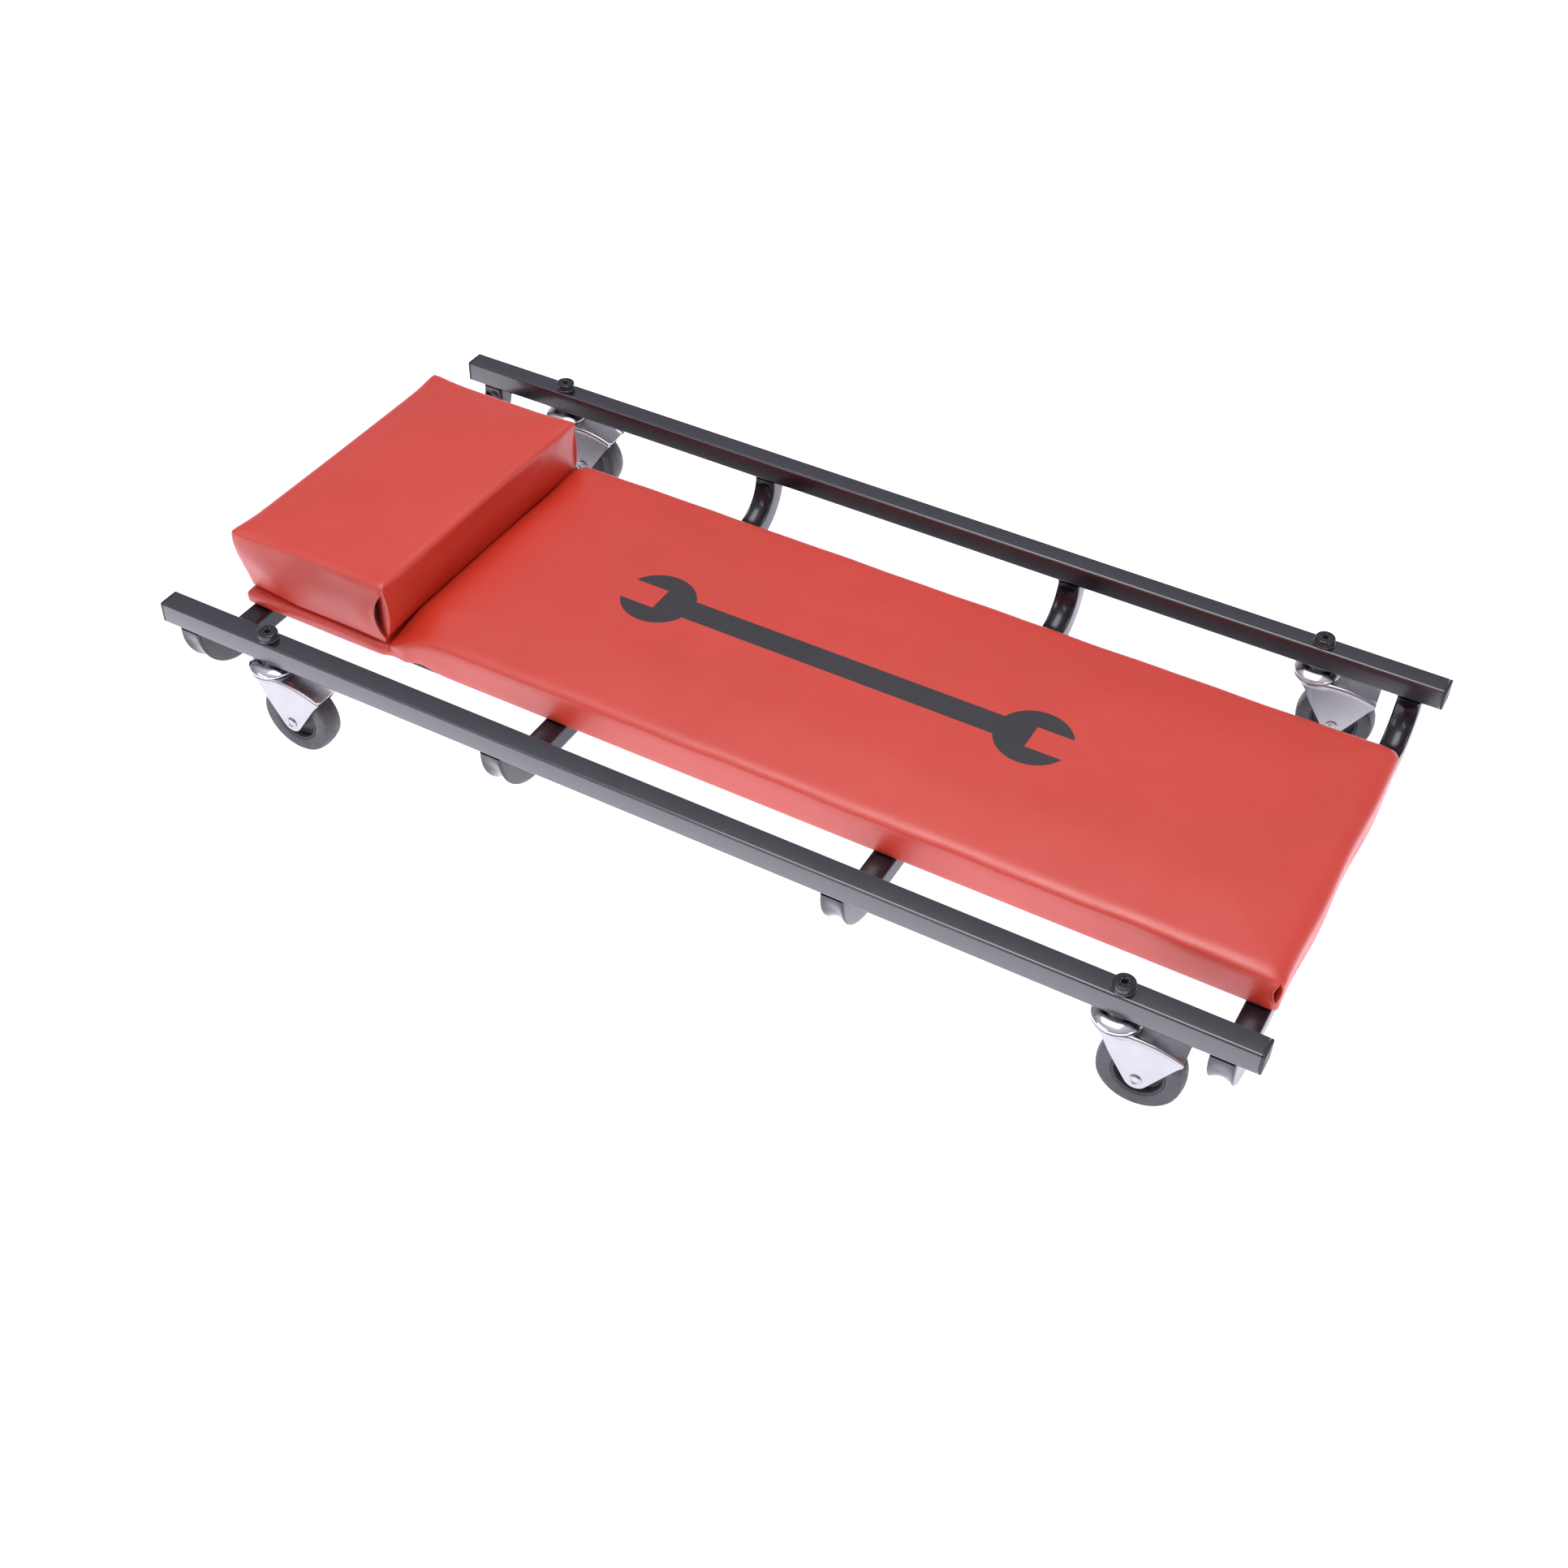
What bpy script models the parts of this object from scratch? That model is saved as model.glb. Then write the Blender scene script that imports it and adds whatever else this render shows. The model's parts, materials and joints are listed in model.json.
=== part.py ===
"""Mechanic's creeper: an upholstered bed board on a welded square-tube frame with four swivel casters.

Metres, +Z up, +X from the head end to the foot end. The origin is on the floor under the middle of
the frame. Every caster is built under an empty that stands on its stem axis and carries its rest angle.
"""

import math

import bmesh
import bpy
from mathutils import Matrix, Vector

MM = 0.001
GAP = 0.3 * MM

# Frame tubes
RAIL_LENGTH = 914.4 * MM
RAIL_Y = 207.5 * MM
RAIL_TOP = 98.5 * MM
TUBE = 19.0 * MM
TUBE_CORNER = 2.0 * MM
TUBE_WALL = 1.5 * MM
CROSS_TOP = 49.0 * MM
CROSS_OUTER_X = 431.5 * MM
CROSS_INNER_X = 144.0 * MM
BEND_RADIUS = 37.5 * MM
BEND_STEPS = 6
CAP_FLANGE = 2.5 * MM
CAP_PLUG = 12.0 * MM
CAP_PLAY = 0.4 * MM

# Caster
STEM_X = 356.0 * MM
TRAIL = 22.5 * MM
WHEEL_RADIUS = 31.5 * MM
WHEEL_WIDTH = 19.0 * MM
TYRE_INNER = 19.0 * MM
SHEET = 2.0 * MM
PLATE_HALF = 14.5 * MM
CROWN_RADIUS = 21.0 * MM
CROWN_TOP = 71.0 * MM
TIP_RADIUS = 8.3 * MM
FORK_REAR = 51.5 * MM
RACEWAY_RADIUS = 19.5 * MM
RACEWAY_TOP = 77.3 * MM
SHANK = 4.0 * MM
AXLE = 3.0 * MM
BOLT_HEAD = 8.0 * MM
BOLT_TOP = 105.3 * MM
REST_ANGLES = {"head_near": 0.0, "head_far": 2.5, "foot_near": 3.0, "foot_far": 6.0}

# Bed and pillow
PAD_HEAD_X = -448.0 * MM
PAD_FOOT_X = 446.0 * MM
PAD_HALF = 137.0 * MM
PAD_TOP = 84.5 * MM
PAD_HEAD_TOP = 61.5 * MM
PILLOW_FOOT_X = -298.0 * MM
PILLOW_TOP = 123.5 * MM
PAD_EDGE = 9.0 * MM
COVER = 5.0 * MM
BOARD = 9.0 * MM
SCREW_HEAD = 4.0 * MM
SCREW_SHANK = 2.0 * MM
SCREW_PAIR_Y = 95.0 * MM

AXLE_Z = WHEEL_RADIUS
RAIL_BOTTOM = RAIL_TOP - TUBE
BOARD_BOTTOM = CROSS_TOP + GAP
BOARD_TOP = BOARD_BOTTOM + BOARD


def clear_scene():
    for obj in list(bpy.data.objects):
        bpy.data.objects.remove(obj, do_unlink=True)


def finish(name, colour, roughness, metallic=0.0):
    """A Principled material."""
    made = bpy.data.materials.new(name)
    made.use_nodes = True
    shader = made.node_tree.nodes["Principled BSDF"]
    shader.inputs["Base Color"].default_value = (*colour, 1.0)
    shader.inputs["Roughness"].default_value = roughness
    shader.inputs["Metallic"].default_value = metallic
    return made


def add_object(name, shape, material, parent=None, smooth=True):
    """The bmesh as a named object, its normals outwards and its rounds shaded smooth."""
    bmesh.ops.remove_doubles(shape, verts=shape.verts, dist=1e-6)
    bmesh.ops.recalc_face_normals(shape, faces=shape.faces)
    mesh = bpy.data.meshes.new(name)
    shape.to_mesh(mesh)
    shape.free()
    if smooth:
        mesh.shade_smooth()
        mesh.set_sharp_from_angle(angle=math.radians(40))
    mesh.materials.append(material)
    obj = bpy.data.objects.new(name, mesh)
    bpy.context.scene.collection.objects.link(obj)
    obj.parent = parent
    return obj


def join_rings(shape, rings, closed=True):
    """Quads between each ring of points and the next. A closed ring joins its last point to its first."""
    loops = [[shape.verts.new(point) for point in ring] for ring in rings]
    count = len(loops[0])
    for near, far in zip(loops, loops[1:]):
        for i in range(count if closed else count - 1):
            j = (i + 1) % count
            shape.faces.new((near[i], near[j], far[j], far[i]))
    return loops


def lofted(rings):
    """A solid through closed rings of points, with flat ends."""
    shape = bmesh.new()
    loops = join_rings(shape, rings)
    shape.faces.new(loops[0])
    shape.faces.new(loops[-1])
    return shape


def turned(profile, steps, along_y=False):
    """A solid of revolution. The (radius, height) profile is a closed loop, or it starts and ends on the axis."""
    shape = bmesh.new()
    points = [shape.verts.new((radius, 0, height)) for radius, height in profile]
    on_axis = profile[0][0] == 0
    ends = points if on_axis else [*points, points[0]]
    edges = [shape.edges.new(pair) for pair in zip(ends, ends[1:])]
    bmesh.ops.spin(
        shape, geom=points + edges, cent=(0, 0, 0), axis=(0, 0, 1), angle=math.tau, steps=steps, use_merge=True
    )
    if along_y:
        bmesh.ops.rotate(shape, verts=shape.verts, matrix=Matrix.Rotation(math.radians(90), 3, "X"))
    return shape


def cutter(name, radius, length, place, axis="Z", parent=None, steps=16):
    """A hidden cylinder for a Boolean."""
    shape = bmesh.new()
    turn = Matrix.Rotation(math.radians(90), 4, "X") if axis == "Y" else Matrix.Identity(4)
    bmesh.ops.create_cone(
        shape, cap_ends=True, segments=steps, radius1=radius, radius2=radius, depth=length, matrix=turn
    )
    mesh = bpy.data.meshes.new(name)
    shape.to_mesh(mesh)
    shape.free()
    obj = bpy.data.objects.new(name, mesh)
    bpy.context.scene.collection.objects.link(obj)
    obj.parent = parent
    obj.location = place
    obj.hide_render = True
    obj.display_type = "WIRE"
    return obj


def cut(obj, tool):
    made = obj.modifiers.new(tool.name, "BOOLEAN")
    made.operation = "DIFFERENCE"
    made.solver = "EXACT"
    made.object = tool


def hollow(obj, wall):
    """Gives a skin its wall, inwards."""
    made = obj.modifiers.new("wall", "SOLIDIFY")
    made.thickness = wall
    made.offset = -1
    made.use_even_offset = True


def square_ring(size, corner):
    """Points (u, v) round a square with cut corners."""
    half = size / 2
    inner = half - corner
    return [
        (half, -inner), (half, inner), (inner, half), (-inner, half),
        (-half, inner), (-half, -inner), (-inner, -half), (inner, -half),
    ]  # fmt: skip


def box_rings(low, high, edge):
    """Rings of a box with bevelled edges at its top, for lofted()."""
    rings = []
    for z, inset in ((low[2], 0.0), (high[2] - edge, 0.0), (high[2] - 0.3 * edge, 0.3 * edge), (high[2], edge)):
        x0, x1 = low[0] + inset, high[0] - inset
        y0, y1 = low[1] + inset, high[1] - inset
        corner = edge * 0.7
        rings.append(
            [
                (x0 + corner, y0, z), (x1 - corner, y0, z), (x1, y0 + corner, z), (x1, y1 - corner, z),
                (x1 - corner, y1, z), (x0 + corner, y1, z), (x0, y1 - corner, z), (x0, y0 + corner, z),
            ]
        )  # fmt: skip
    return rings


def side_rail(name, side, material):
    """A square tube along X, open at both ends, drilled for its two caster bolts."""
    half = RAIL_LENGTH / 2 - CAP_FLANGE - GAP
    centre_z = RAIL_TOP - TUBE / 2
    shape = bmesh.new()
    section = square_ring(TUBE, TUBE_CORNER)
    join_rings(shape, [[(x, side * RAIL_Y + u, centre_z + v) for u, v in section] for x in (-half, half)])
    rail = add_object(name, shape, material)
    hollow(rail, TUBE_WALL)
    for x in (-STEM_X, STEM_X):
        place = (x, side * RAIL_Y, centre_z)
        cut(rail, cutter(f"{name}_drill", SHANK + GAP, TUBE * 2, place))
    return rail


def rail_cap(name, end, side, material):
    """A plastic plug: a tapered stem inside the tube and a domed flange over its end."""
    outer = RAIL_LENGTH / 2
    stem = TUBE - 2 * TUBE_WALL - 2 * CAP_PLAY
    steps = (
        (0.0, TUBE - 3.0 * MM, TUBE_CORNER),
        (0.7 * MM, TUBE - 0.8 * MM, TUBE_CORNER),
        (CAP_FLANGE, TUBE, TUBE_CORNER),
        (CAP_FLANGE, stem, MM),
        (CAP_FLANGE + CAP_PLUG, stem - MM, MM),
    )
    rings = []
    for depth, size, corner in steps:
        x = end * (outer - depth)
        rings.append(
            [(x, side * RAIL_Y + u, RAIL_TOP - TUBE / 2 + v) for u, v in square_ring(size, corner)]
        )
    return add_object(name, lofted(rings), material)


def cross_member(name, x, screw_spots, material):
    """A square tube bent up at both ends, which meets the undersides of the two rails."""
    flat_z = CROSS_TOP - TUBE / 2
    bend_y = RAIL_Y - BEND_RADIUS
    bend_z = flat_z + BEND_RADIUS
    section = square_ring(TUBE, TUBE_CORNER)
    leg = [(RAIL_BOTTOM - GAP, 0.0)]
    leg += [(bend_z, math.pi / 2 * step / BEND_STEPS) for step in range(BEND_STEPS + 1)]
    rings = []
    for side in (1, -1):
        half_rings = []
        for z, angle in leg:
            out = Vector((0, math.cos(angle), -math.sin(angle)))
            centre = Vector((x, bend_y, z)) + out * BEND_RADIUS
            ring = [centre + Vector((v, 0, 0)) + out * u for u, v in section]
            half_rings.append([Vector((p.x, side * p.y, p.z)) for p in ring])
        rings += half_rings if side == 1 else half_rings[::-1]
    shape = bmesh.new()
    join_rings(shape, rings)
    member = add_object(name, shape, material)
    hollow(member, TUBE_WALL)
    for y in screw_spots:
        cut(member, cutter(f"{name}_drill", SCREW_SHANK + GAP, TUBE * 2, (x, y, flat_z), steps=12))
    return member


def fork_lower_edge(x):
    """Height of the side plate's lower edge: a rounded triangle standing on the axle."""
    lean = math.radians(32.8)
    front = Vector((TRAIL - TIP_RADIUS * math.cos(lean), AXLE_Z - TIP_RADIUS * math.sin(lean)))
    rear = Vector((TRAIL + TIP_RADIUS * math.cos(lean), front.y))
    if x < front.x:
        return front.y + (front.x - x) / math.tan(lean)
    if x > rear.x:
        return rear.y + (x - rear.x) / math.tan(lean)
    return AXLE_Z - math.sqrt(max(TIP_RADIUS**2 - (x - TRAIL) ** 2, 0))


def fork_ridge(x):
    """Height of the two ridges along the top of the hood: level under the raceway, then falling."""
    behind = max(x - CROWN_RADIUS, 0)
    whole = FORK_REAR - CROWN_RADIUS
    return CROWN_TOP - 7 * MM * (behind / whole) ** 2


def fork(name, parent, material):
    """A stamped sheet fork: a round crown in front, two side plates and a sunk hood behind it."""
    flare_z = 63.5 * MM
    front_skirt = 66.5 * MM
    ridge_round = 2.2 * MM
    rear_edge = 4.4 * MM
    sections = []
    for x in (FORK_REAR, 40 * MM, 29.4 * MM, 25.8 * MM, TRAIL, 18.8 * MM, 15.2 * MM, 8 * MM, 0.0):
        wide = math.sqrt(max(CROWN_RADIUS**2 - x**2, PLATE_HALF**2))
        ridge = fork_ridge(x)
        valley = ridge - 3 * MM * min(max((x - CROWN_RADIUS) / (12 * MM), 0), 1)
        low = min(fork_lower_edge(x), ridge - rear_edge)
        sections.append(
            [
                (x, 0, valley),
                (x, 0.6 * wide, 0.5 * (valley + ridge)),
                (x, wide - ridge_round, ridge),
                (x, wide, ridge - ridge_round),
                (x, PLATE_HALF, min(flare_z, ridge - 0.75 * rear_edge)),
                (x, PLATE_HALF, low),
            ]
        )
    mirrored = [[(px, -py, pz) for px, py, pz in section] for section in sections]
    fan = []
    edge_z = fork_lower_edge(0)
    for turn in (18, 40, 65, 90, 115, 140, 162):
        share = 1 - min(turn, 180 - turn) / 90
        low = front_skirt - (front_skirt - edge_z) * share**4.5
        tuck = PLATE_HALF + (CROWN_RADIUS - 1.5 * MM - PLATE_HALF) * (1 - share**2)
        away = Vector((-math.sin(math.radians(turn)), math.cos(math.radians(turn))))
        outline = (
            (0.0, CROWN_TOP),
            (0.6 * CROWN_RADIUS, CROWN_TOP),
            (CROWN_RADIUS - ridge_round, CROWN_TOP),
            (CROWN_RADIUS, CROWN_TOP - ridge_round),
            (tuck, max(flare_z, low + 0.5 * MM)),
            (tuck, low),
        )
        fan.append([(away.x * radius, away.y * radius, z) for radius, z in outline])
    shape = bmesh.new()
    join_rings(shape, sections + fan + mirrored[::-1], closed=False)
    made = add_object(name, shape, material, parent)
    hollow(made, SHEET)
    drill = cutter(f"{name}_king_drill", SHANK + 3 * GAP, 20 * MM, (0, 0, CROWN_TOP), parent=parent)
    # Turned a little, so that no corner of it falls on a crease of the crown.
    drill.rotation_euler.z = math.radians(7)
    cut(made, drill)
    place = (TRAIL, 0, AXLE_Z)
    cut(made, cutter(f"{name}_axle_drill", AXLE + GAP, 2.5 * TUBE, place, "Y", parent, steps=12))
    return made


def raceway(name, parent, material):
    """A domed cup, open below, over the balls."""
    rim = RACEWAY_RADIUS
    top = RACEWAY_TOP
    bore = SHANK + GAP
    skin = 1.2 * MM
    dome = ((9.5, 0.0), (14.0, 0.7), (17.3, 2.5), (19.1, 4.5), (19.5, 5.9))
    scale = rim / (19.5 * MM)
    outside = [(radius * MM * scale, top - drop * MM) for radius, drop in dome]
    inside = [(radius - skin, z - skin * (z > top - 5.9 * MM)) for radius, z in outside]
    profile = [(bore, top), *outside, *inside[::-1], (bore, top - skin)]
    return add_object(name, turned(profile, 16), material, parent)


def ball_ring(name, parent, material):
    """The ring of balls and its cage, as one turned ring."""
    bottom = CROWN_TOP + GAP
    profile = (
        (11.5 * MM, bottom), (16.0 * MM, bottom), (16.0 * MM, bottom + 1.5 * MM), (14.5 * MM, bottom + 2.4 * MM),
        (11.5 * MM, bottom + 2.4 * MM),
    )  # fmt: skip
    return add_object(name, turned(profile, 12), material, parent)


def plain_ring(name, inner, outer, low, high, parent, material):
    profile = ((inner, low), (outer, low), (outer, high), (inner, high))
    return add_object(name, turned(profile, 12), material, parent)


def stem_bolt(name, parent, material):
    """A bolt with a low round head, bevelled, with a hex socket in it."""
    seat = RAIL_TOP + 2.0 * MM
    foot = 60.5 * MM
    socket = 2.9 * MM
    deep = 2.6 * MM
    edge = 1.1 * MM
    profile = (
        (0.0, foot), (SHANK - MM, foot), (SHANK, foot + MM), (SHANK, seat), (BOLT_HEAD - 0.4 * MM, seat),
        (BOLT_HEAD, seat + edge), (BOLT_HEAD, BOLT_TOP - edge), (BOLT_HEAD - edge, BOLT_TOP), (0.0, BOLT_TOP),
    )  # fmt: skip
    bolt = add_object(name, turned(profile, 16), material, parent)
    place = (0, 0, BOLT_TOP)
    cut(bolt, cutter(f"{name}_socket", socket, 2 * deep, place, parent=parent, steps=6))
    return bolt


def kingpin_nut(name, parent, material):
    """A hex nut that closes the caster under the fork's crown."""
    low = 62.3 * MM
    high = CROWN_TOP - SHEET - 0.4 * MM
    shape = bmesh.new()
    rings = []
    for radius, z in ((SHANK + GAP, low), (7.5 * MM, low), (7.5 * MM, high), (SHANK + GAP, high)):
        ring = []
        for step in range(12):
            angle = math.tau * step / 12
            flat = 1.0 if radius < 7 * MM or step % 2 == 0 else math.cos(math.pi / 6)
            ring.append((radius * flat * math.cos(angle), radius * flat * math.sin(angle), z))
        rings.append(ring)
    join_rings(shape, [*rings, rings[0]])
    return add_object(name, shape, material, parent)


def axle_rivet(name, parent, material):
    """A shouldered rivet along Y, its heads outside the fork's plates."""
    inner = PLATE_HALF + GAP
    outer = inner + 1.3 * MM
    head = 4.5 * MM
    profile = (
        (0.0, -outer), (head - MM, -outer), (head, -outer + 0.6 * MM), (head, -inner), (AXLE, -inner),
        (AXLE, inner), (head, inner), (head, outer - 0.6 * MM), (head - MM, outer), (0.0, outer),
    )  # fmt: skip
    rivet = add_object(name, turned(profile, 12, along_y=True), material, parent)
    rivet.location = (TRAIL, 0, AXLE_Z)
    return rivet


def wheel_hub(name, parent, material):
    """A dark core with a boss on the axle, a thin web and a rim under the tyre."""
    rim = TYRE_INNER - GAP
    bore = AXLE + GAP
    boss = PLATE_HALF - SHEET - 1.0 * MM
    half = WHEEL_WIDTH / 2 - 0.5 * MM
    web = 3.0 * MM
    profile = (
        (bore, -boss), (7.5 * MM, -boss), (8.5 * MM, -web), (rim - 2 * MM, -web), (rim - 1.4 * MM, -half),
        (rim, -half), (rim, half), (rim - 1.4 * MM, half), (rim - 2 * MM, web), (8.5 * MM, web),
        (7.5 * MM, boss), (bore, boss),
    )  # fmt: skip
    hub = add_object(name, turned(profile, 16, along_y=True), material, parent)
    hub.location = (TRAIL, 0, AXLE_Z)
    return hub


def tyre(name, parent, material):
    """A hard tread with flat sides and a crowned running face."""
    half = WHEEL_WIDTH / 2
    shoulder = WHEEL_RADIUS - 2.2 * MM
    profile = (
        (TYRE_INNER, -half + 0.4 * MM), (TYRE_INNER + 0.6 * MM, -half), (shoulder, -half),
        (WHEEL_RADIUS - 0.7 * MM, -half * 0.62), (WHEEL_RADIUS, 0.0), (WHEEL_RADIUS - 0.7 * MM, half * 0.62),
        (shoulder, half), (TYRE_INNER + 0.6 * MM, half), (TYRE_INNER, half - 0.4 * MM),
    )  # fmt: skip
    made = add_object(name, turned(profile, 32, along_y=True), material, parent)
    made.location = (TRAIL, 0, AXLE_Z)
    return made


def caster(spot, side, end, looks):
    """One caster under its corner of the frame, with the bolt that holds it."""
    stem = bpy.data.objects.new(f"stem_axis_{spot}", None)
    bpy.context.scene.collection.objects.link(stem)
    stem.location = (end * STEM_X, side * RAIL_Y, 0)
    stem.rotation_euler.z = math.radians(REST_ANGLES[spot])
    washer = (SHANK + GAP, BOLT_HEAD + 0.5 * MM, RAIL_TOP + GAP, RAIL_TOP + 1.7 * MM)
    collar = (SHANK + GAP, 9.0 * MM, RACEWAY_TOP + GAP, RAIL_BOTTOM - GAP)
    stem_bolt(f"stem_bolt_{spot}", stem, looks["bolt"])
    plain_ring(f"bolt_washer_{spot}", *washer, stem, looks["bolt"])
    plain_ring(f"collar_{spot}", *collar, stem, looks["bolt"])
    raceway(f"raceway_{spot}", stem, looks["polished"])
    ball_ring(f"ball_ring_{spot}", stem, looks["polished"])
    fork(f"fork_{spot}", stem, looks["zinc"])
    kingpin_nut(f"kingpin_nut_{spot}", stem, looks["zinc"])
    axle_rivet(f"axle_rivet_{spot}", stem, looks["zinc"])
    wheel_hub(f"wheel_hub_{spot}", stem, looks["core"])
    tyre(f"tyre_{spot}", stem, looks["tread"])


def bed_board(screws, material):
    """The board under the upholstery, with blind holes for its screws."""
    inset = COVER + GAP
    low = (PAD_HEAD_X + inset, -PAD_HALF + inset, BOARD_BOTTOM)
    high = (PAD_FOOT_X - inset, PAD_HALF - inset, BOARD_TOP)
    board = add_object("bed_board", lofted(box_rings(low, high, MM)), material, smooth=False)
    for x, y in screws:
        place = (x, y, BOARD_BOTTOM)
        cut(board, cutter("board_drill", SCREW_SHANK + GAP, 2 * (BOARD - 1.5 * MM), place, steps=12))
    return board


def bed_pad(material):
    """Foam under its cover: a low shelf for the pillow, the raised bed, and a pocket below for the board."""
    step_x = PILLOW_FOOT_X + GAP
    low_z = BOARD_BOTTOM + GAP
    outline = (
        (PAD_HEAD_X, low_z), (PAD_HEAD_X, PAD_HEAD_TOP), (step_x, PAD_HEAD_TOP), (step_x, PAD_TOP - PAD_EDGE),
        (step_x + 0.5 * PAD_EDGE, PAD_TOP), (PAD_FOOT_X - PAD_EDGE, PAD_TOP),
        (PAD_FOOT_X - 0.25 * PAD_EDGE, PAD_TOP - 0.3 * PAD_EDGE), (PAD_FOOT_X, PAD_TOP - PAD_EDGE),
        (PAD_FOOT_X, low_z),
    )  # fmt: skip
    rings = []
    for y, drop in ((-PAD_HALF, PAD_EDGE), (-PAD_HALF + 0.3 * PAD_EDGE, 0.3 * PAD_EDGE), (-PAD_HALF + PAD_EDGE, 0)):
        rings.append([(x, y, min(z, PAD_TOP - drop)) for x, z in outline])
    rings += [[(x, -y, z) for x, y, z in ring] for ring in rings[::-1]]
    pad = add_object("bed_pad", lofted(rings), material)
    pocket = bmesh.new()
    size = (PAD_FOOT_X - PAD_HEAD_X - 2 * COVER, 2 * (PAD_HALF - COVER), 2 * (BOARD + GAP))
    place = Matrix.Translation(((PAD_FOOT_X + PAD_HEAD_X) / 2, 0, BOARD_BOTTOM))
    bmesh.ops.create_cube(pocket, size=1, matrix=place @ Matrix.Diagonal((*size, 1)))
    tool = add_object("board_pocket", pocket, material, smooth=False)
    tool.hide_render = True
    tool.display_type = "WIRE"
    cut(pad, tool)
    return pad


def head_pillow(material):
    low = (PAD_HEAD_X, -PAD_HALF, PAD_HEAD_TOP + GAP)
    high = (PILLOW_FOOT_X, PAD_HALF, PILLOW_TOP)
    return add_object("head_pillow", lofted(box_rings(low, high, PAD_EDGE)), material)


def board_screw(name, x, y, material):
    """A pan-head screw from below, through the cross-member and into the board."""
    seat = CROSS_TOP - TUBE - GAP
    tip = BOARD_TOP - 2.0 * MM
    head = 2.6 * MM
    profile = (
        (0.0, seat - head), (SCREW_HEAD - MM, seat - head), (SCREW_HEAD, seat - 0.5 * head), (SCREW_HEAD, seat),
        (SCREW_SHANK, seat), (SCREW_SHANK, tip - 2 * MM), (0.0, tip),
    )  # fmt: skip
    screw = add_object(name, turned(profile, 12), material)
    screw.location = (x, y, 0)
    return screw


def main():
    clear_scene()
    looks = {
        "frame": finish("frame_black", (0.045, 0.043, 0.055), 0.38),
        "cap": finish("cap_black", (0.03, 0.03, 0.035), 0.5),
        "bolt": finish("bolt_black", (0.05, 0.05, 0.055), 0.35, 0.7),
        "polished": finish("polished_steel", (0.82, 0.82, 0.84), 0.12, 1.0),
        "zinc": finish("bright_zinc", (0.76, 0.76, 0.79), 0.28, 1.0),
        "core": finish("hub_black", (0.05, 0.05, 0.055), 0.55),
        "tread": finish("tread_grey", (0.12, 0.12, 0.13), 0.6),
        "board": finish("board_dark", (0.06, 0.055, 0.05), 0.8),
        "vinyl": finish("red_vinyl", (0.66, 0.085, 0.06), 0.42),
    }
    side_rail("left_rail", 1, looks["frame"])
    side_rail("right_rail", -1, looks["frame"])
    corners = {"head_near": (-1, -1), "head_far": (-1, 1), "foot_near": (1, -1), "foot_far": (1, 1)}
    for spot, (end, side) in corners.items():
        rail_cap(f"rail_cap_{spot}", end, side, looks["cap"])
        caster(spot, side, end, looks)
    pair = (-SCREW_PAIR_Y, SCREW_PAIR_Y)
    members = ((-CROSS_OUTER_X, pair), (-CROSS_INNER_X, (0.0,)), (CROSS_INNER_X, (0.0,)), (CROSS_OUTER_X, pair))
    for number, (x, spots) in enumerate(members, 1):
        cross_member(f"cross_member_{number}", x, spots, looks["frame"])
    screws = [(x, y) for x, spots in members for y in spots]
    for number, (x, y) in enumerate(screws, 1):
        board_screw(f"board_screw_{number}", x, y, looks["bolt"])
    bed_board(screws, looks["board"])
    bed_pad(looks["vinyl"])
    head_pillow(looks["vinyl"])


main()
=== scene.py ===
"""The finished look of the mechanic's creeper: red vinyl bed and pillow, black tube frame, four casters."""

import json
import math

import bmesh
import bpy
import numpy as np
from mathutils import Matrix, Vector


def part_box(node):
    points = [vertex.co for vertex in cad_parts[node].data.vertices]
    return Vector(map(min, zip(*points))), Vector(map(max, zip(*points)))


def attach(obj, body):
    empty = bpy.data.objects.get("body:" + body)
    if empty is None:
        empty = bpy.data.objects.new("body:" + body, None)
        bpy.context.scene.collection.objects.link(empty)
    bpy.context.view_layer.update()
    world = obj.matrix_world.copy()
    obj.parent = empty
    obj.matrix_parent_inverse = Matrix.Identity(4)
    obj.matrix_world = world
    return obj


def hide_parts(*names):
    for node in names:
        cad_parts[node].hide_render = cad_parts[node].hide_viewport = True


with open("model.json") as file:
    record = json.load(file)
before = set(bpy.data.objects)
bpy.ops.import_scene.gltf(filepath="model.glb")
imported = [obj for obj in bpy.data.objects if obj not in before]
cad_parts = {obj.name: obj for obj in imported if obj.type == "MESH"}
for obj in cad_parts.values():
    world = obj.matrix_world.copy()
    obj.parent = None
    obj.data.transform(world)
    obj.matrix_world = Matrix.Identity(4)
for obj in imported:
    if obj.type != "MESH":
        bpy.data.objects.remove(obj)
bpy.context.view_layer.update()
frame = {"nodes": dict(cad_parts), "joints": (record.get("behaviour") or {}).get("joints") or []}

MM = 0.001

# Where things are, read from the frame
RAIL_LOW, RAIL_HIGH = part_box("left_rail")
TUBE = RAIL_HIGH.z - RAIL_LOW.z
RAIL_TOP = RAIL_HIGH.z
RAIL_Y = (RAIL_LOW.y + RAIL_HIGH.y) / 2
PAD_LOW, PAD_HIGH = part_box("bed_pad")
PILLOW_LOW, PILLOW_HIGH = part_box("head_pillow")
BOARD_LOW, BOARD_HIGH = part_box("bed_board")
JOINTS = {joint["name"]: joint for joint in frame["joints"]}
SPOTS = ("head_near", "head_far", "foot_near", "foot_far")

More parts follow.
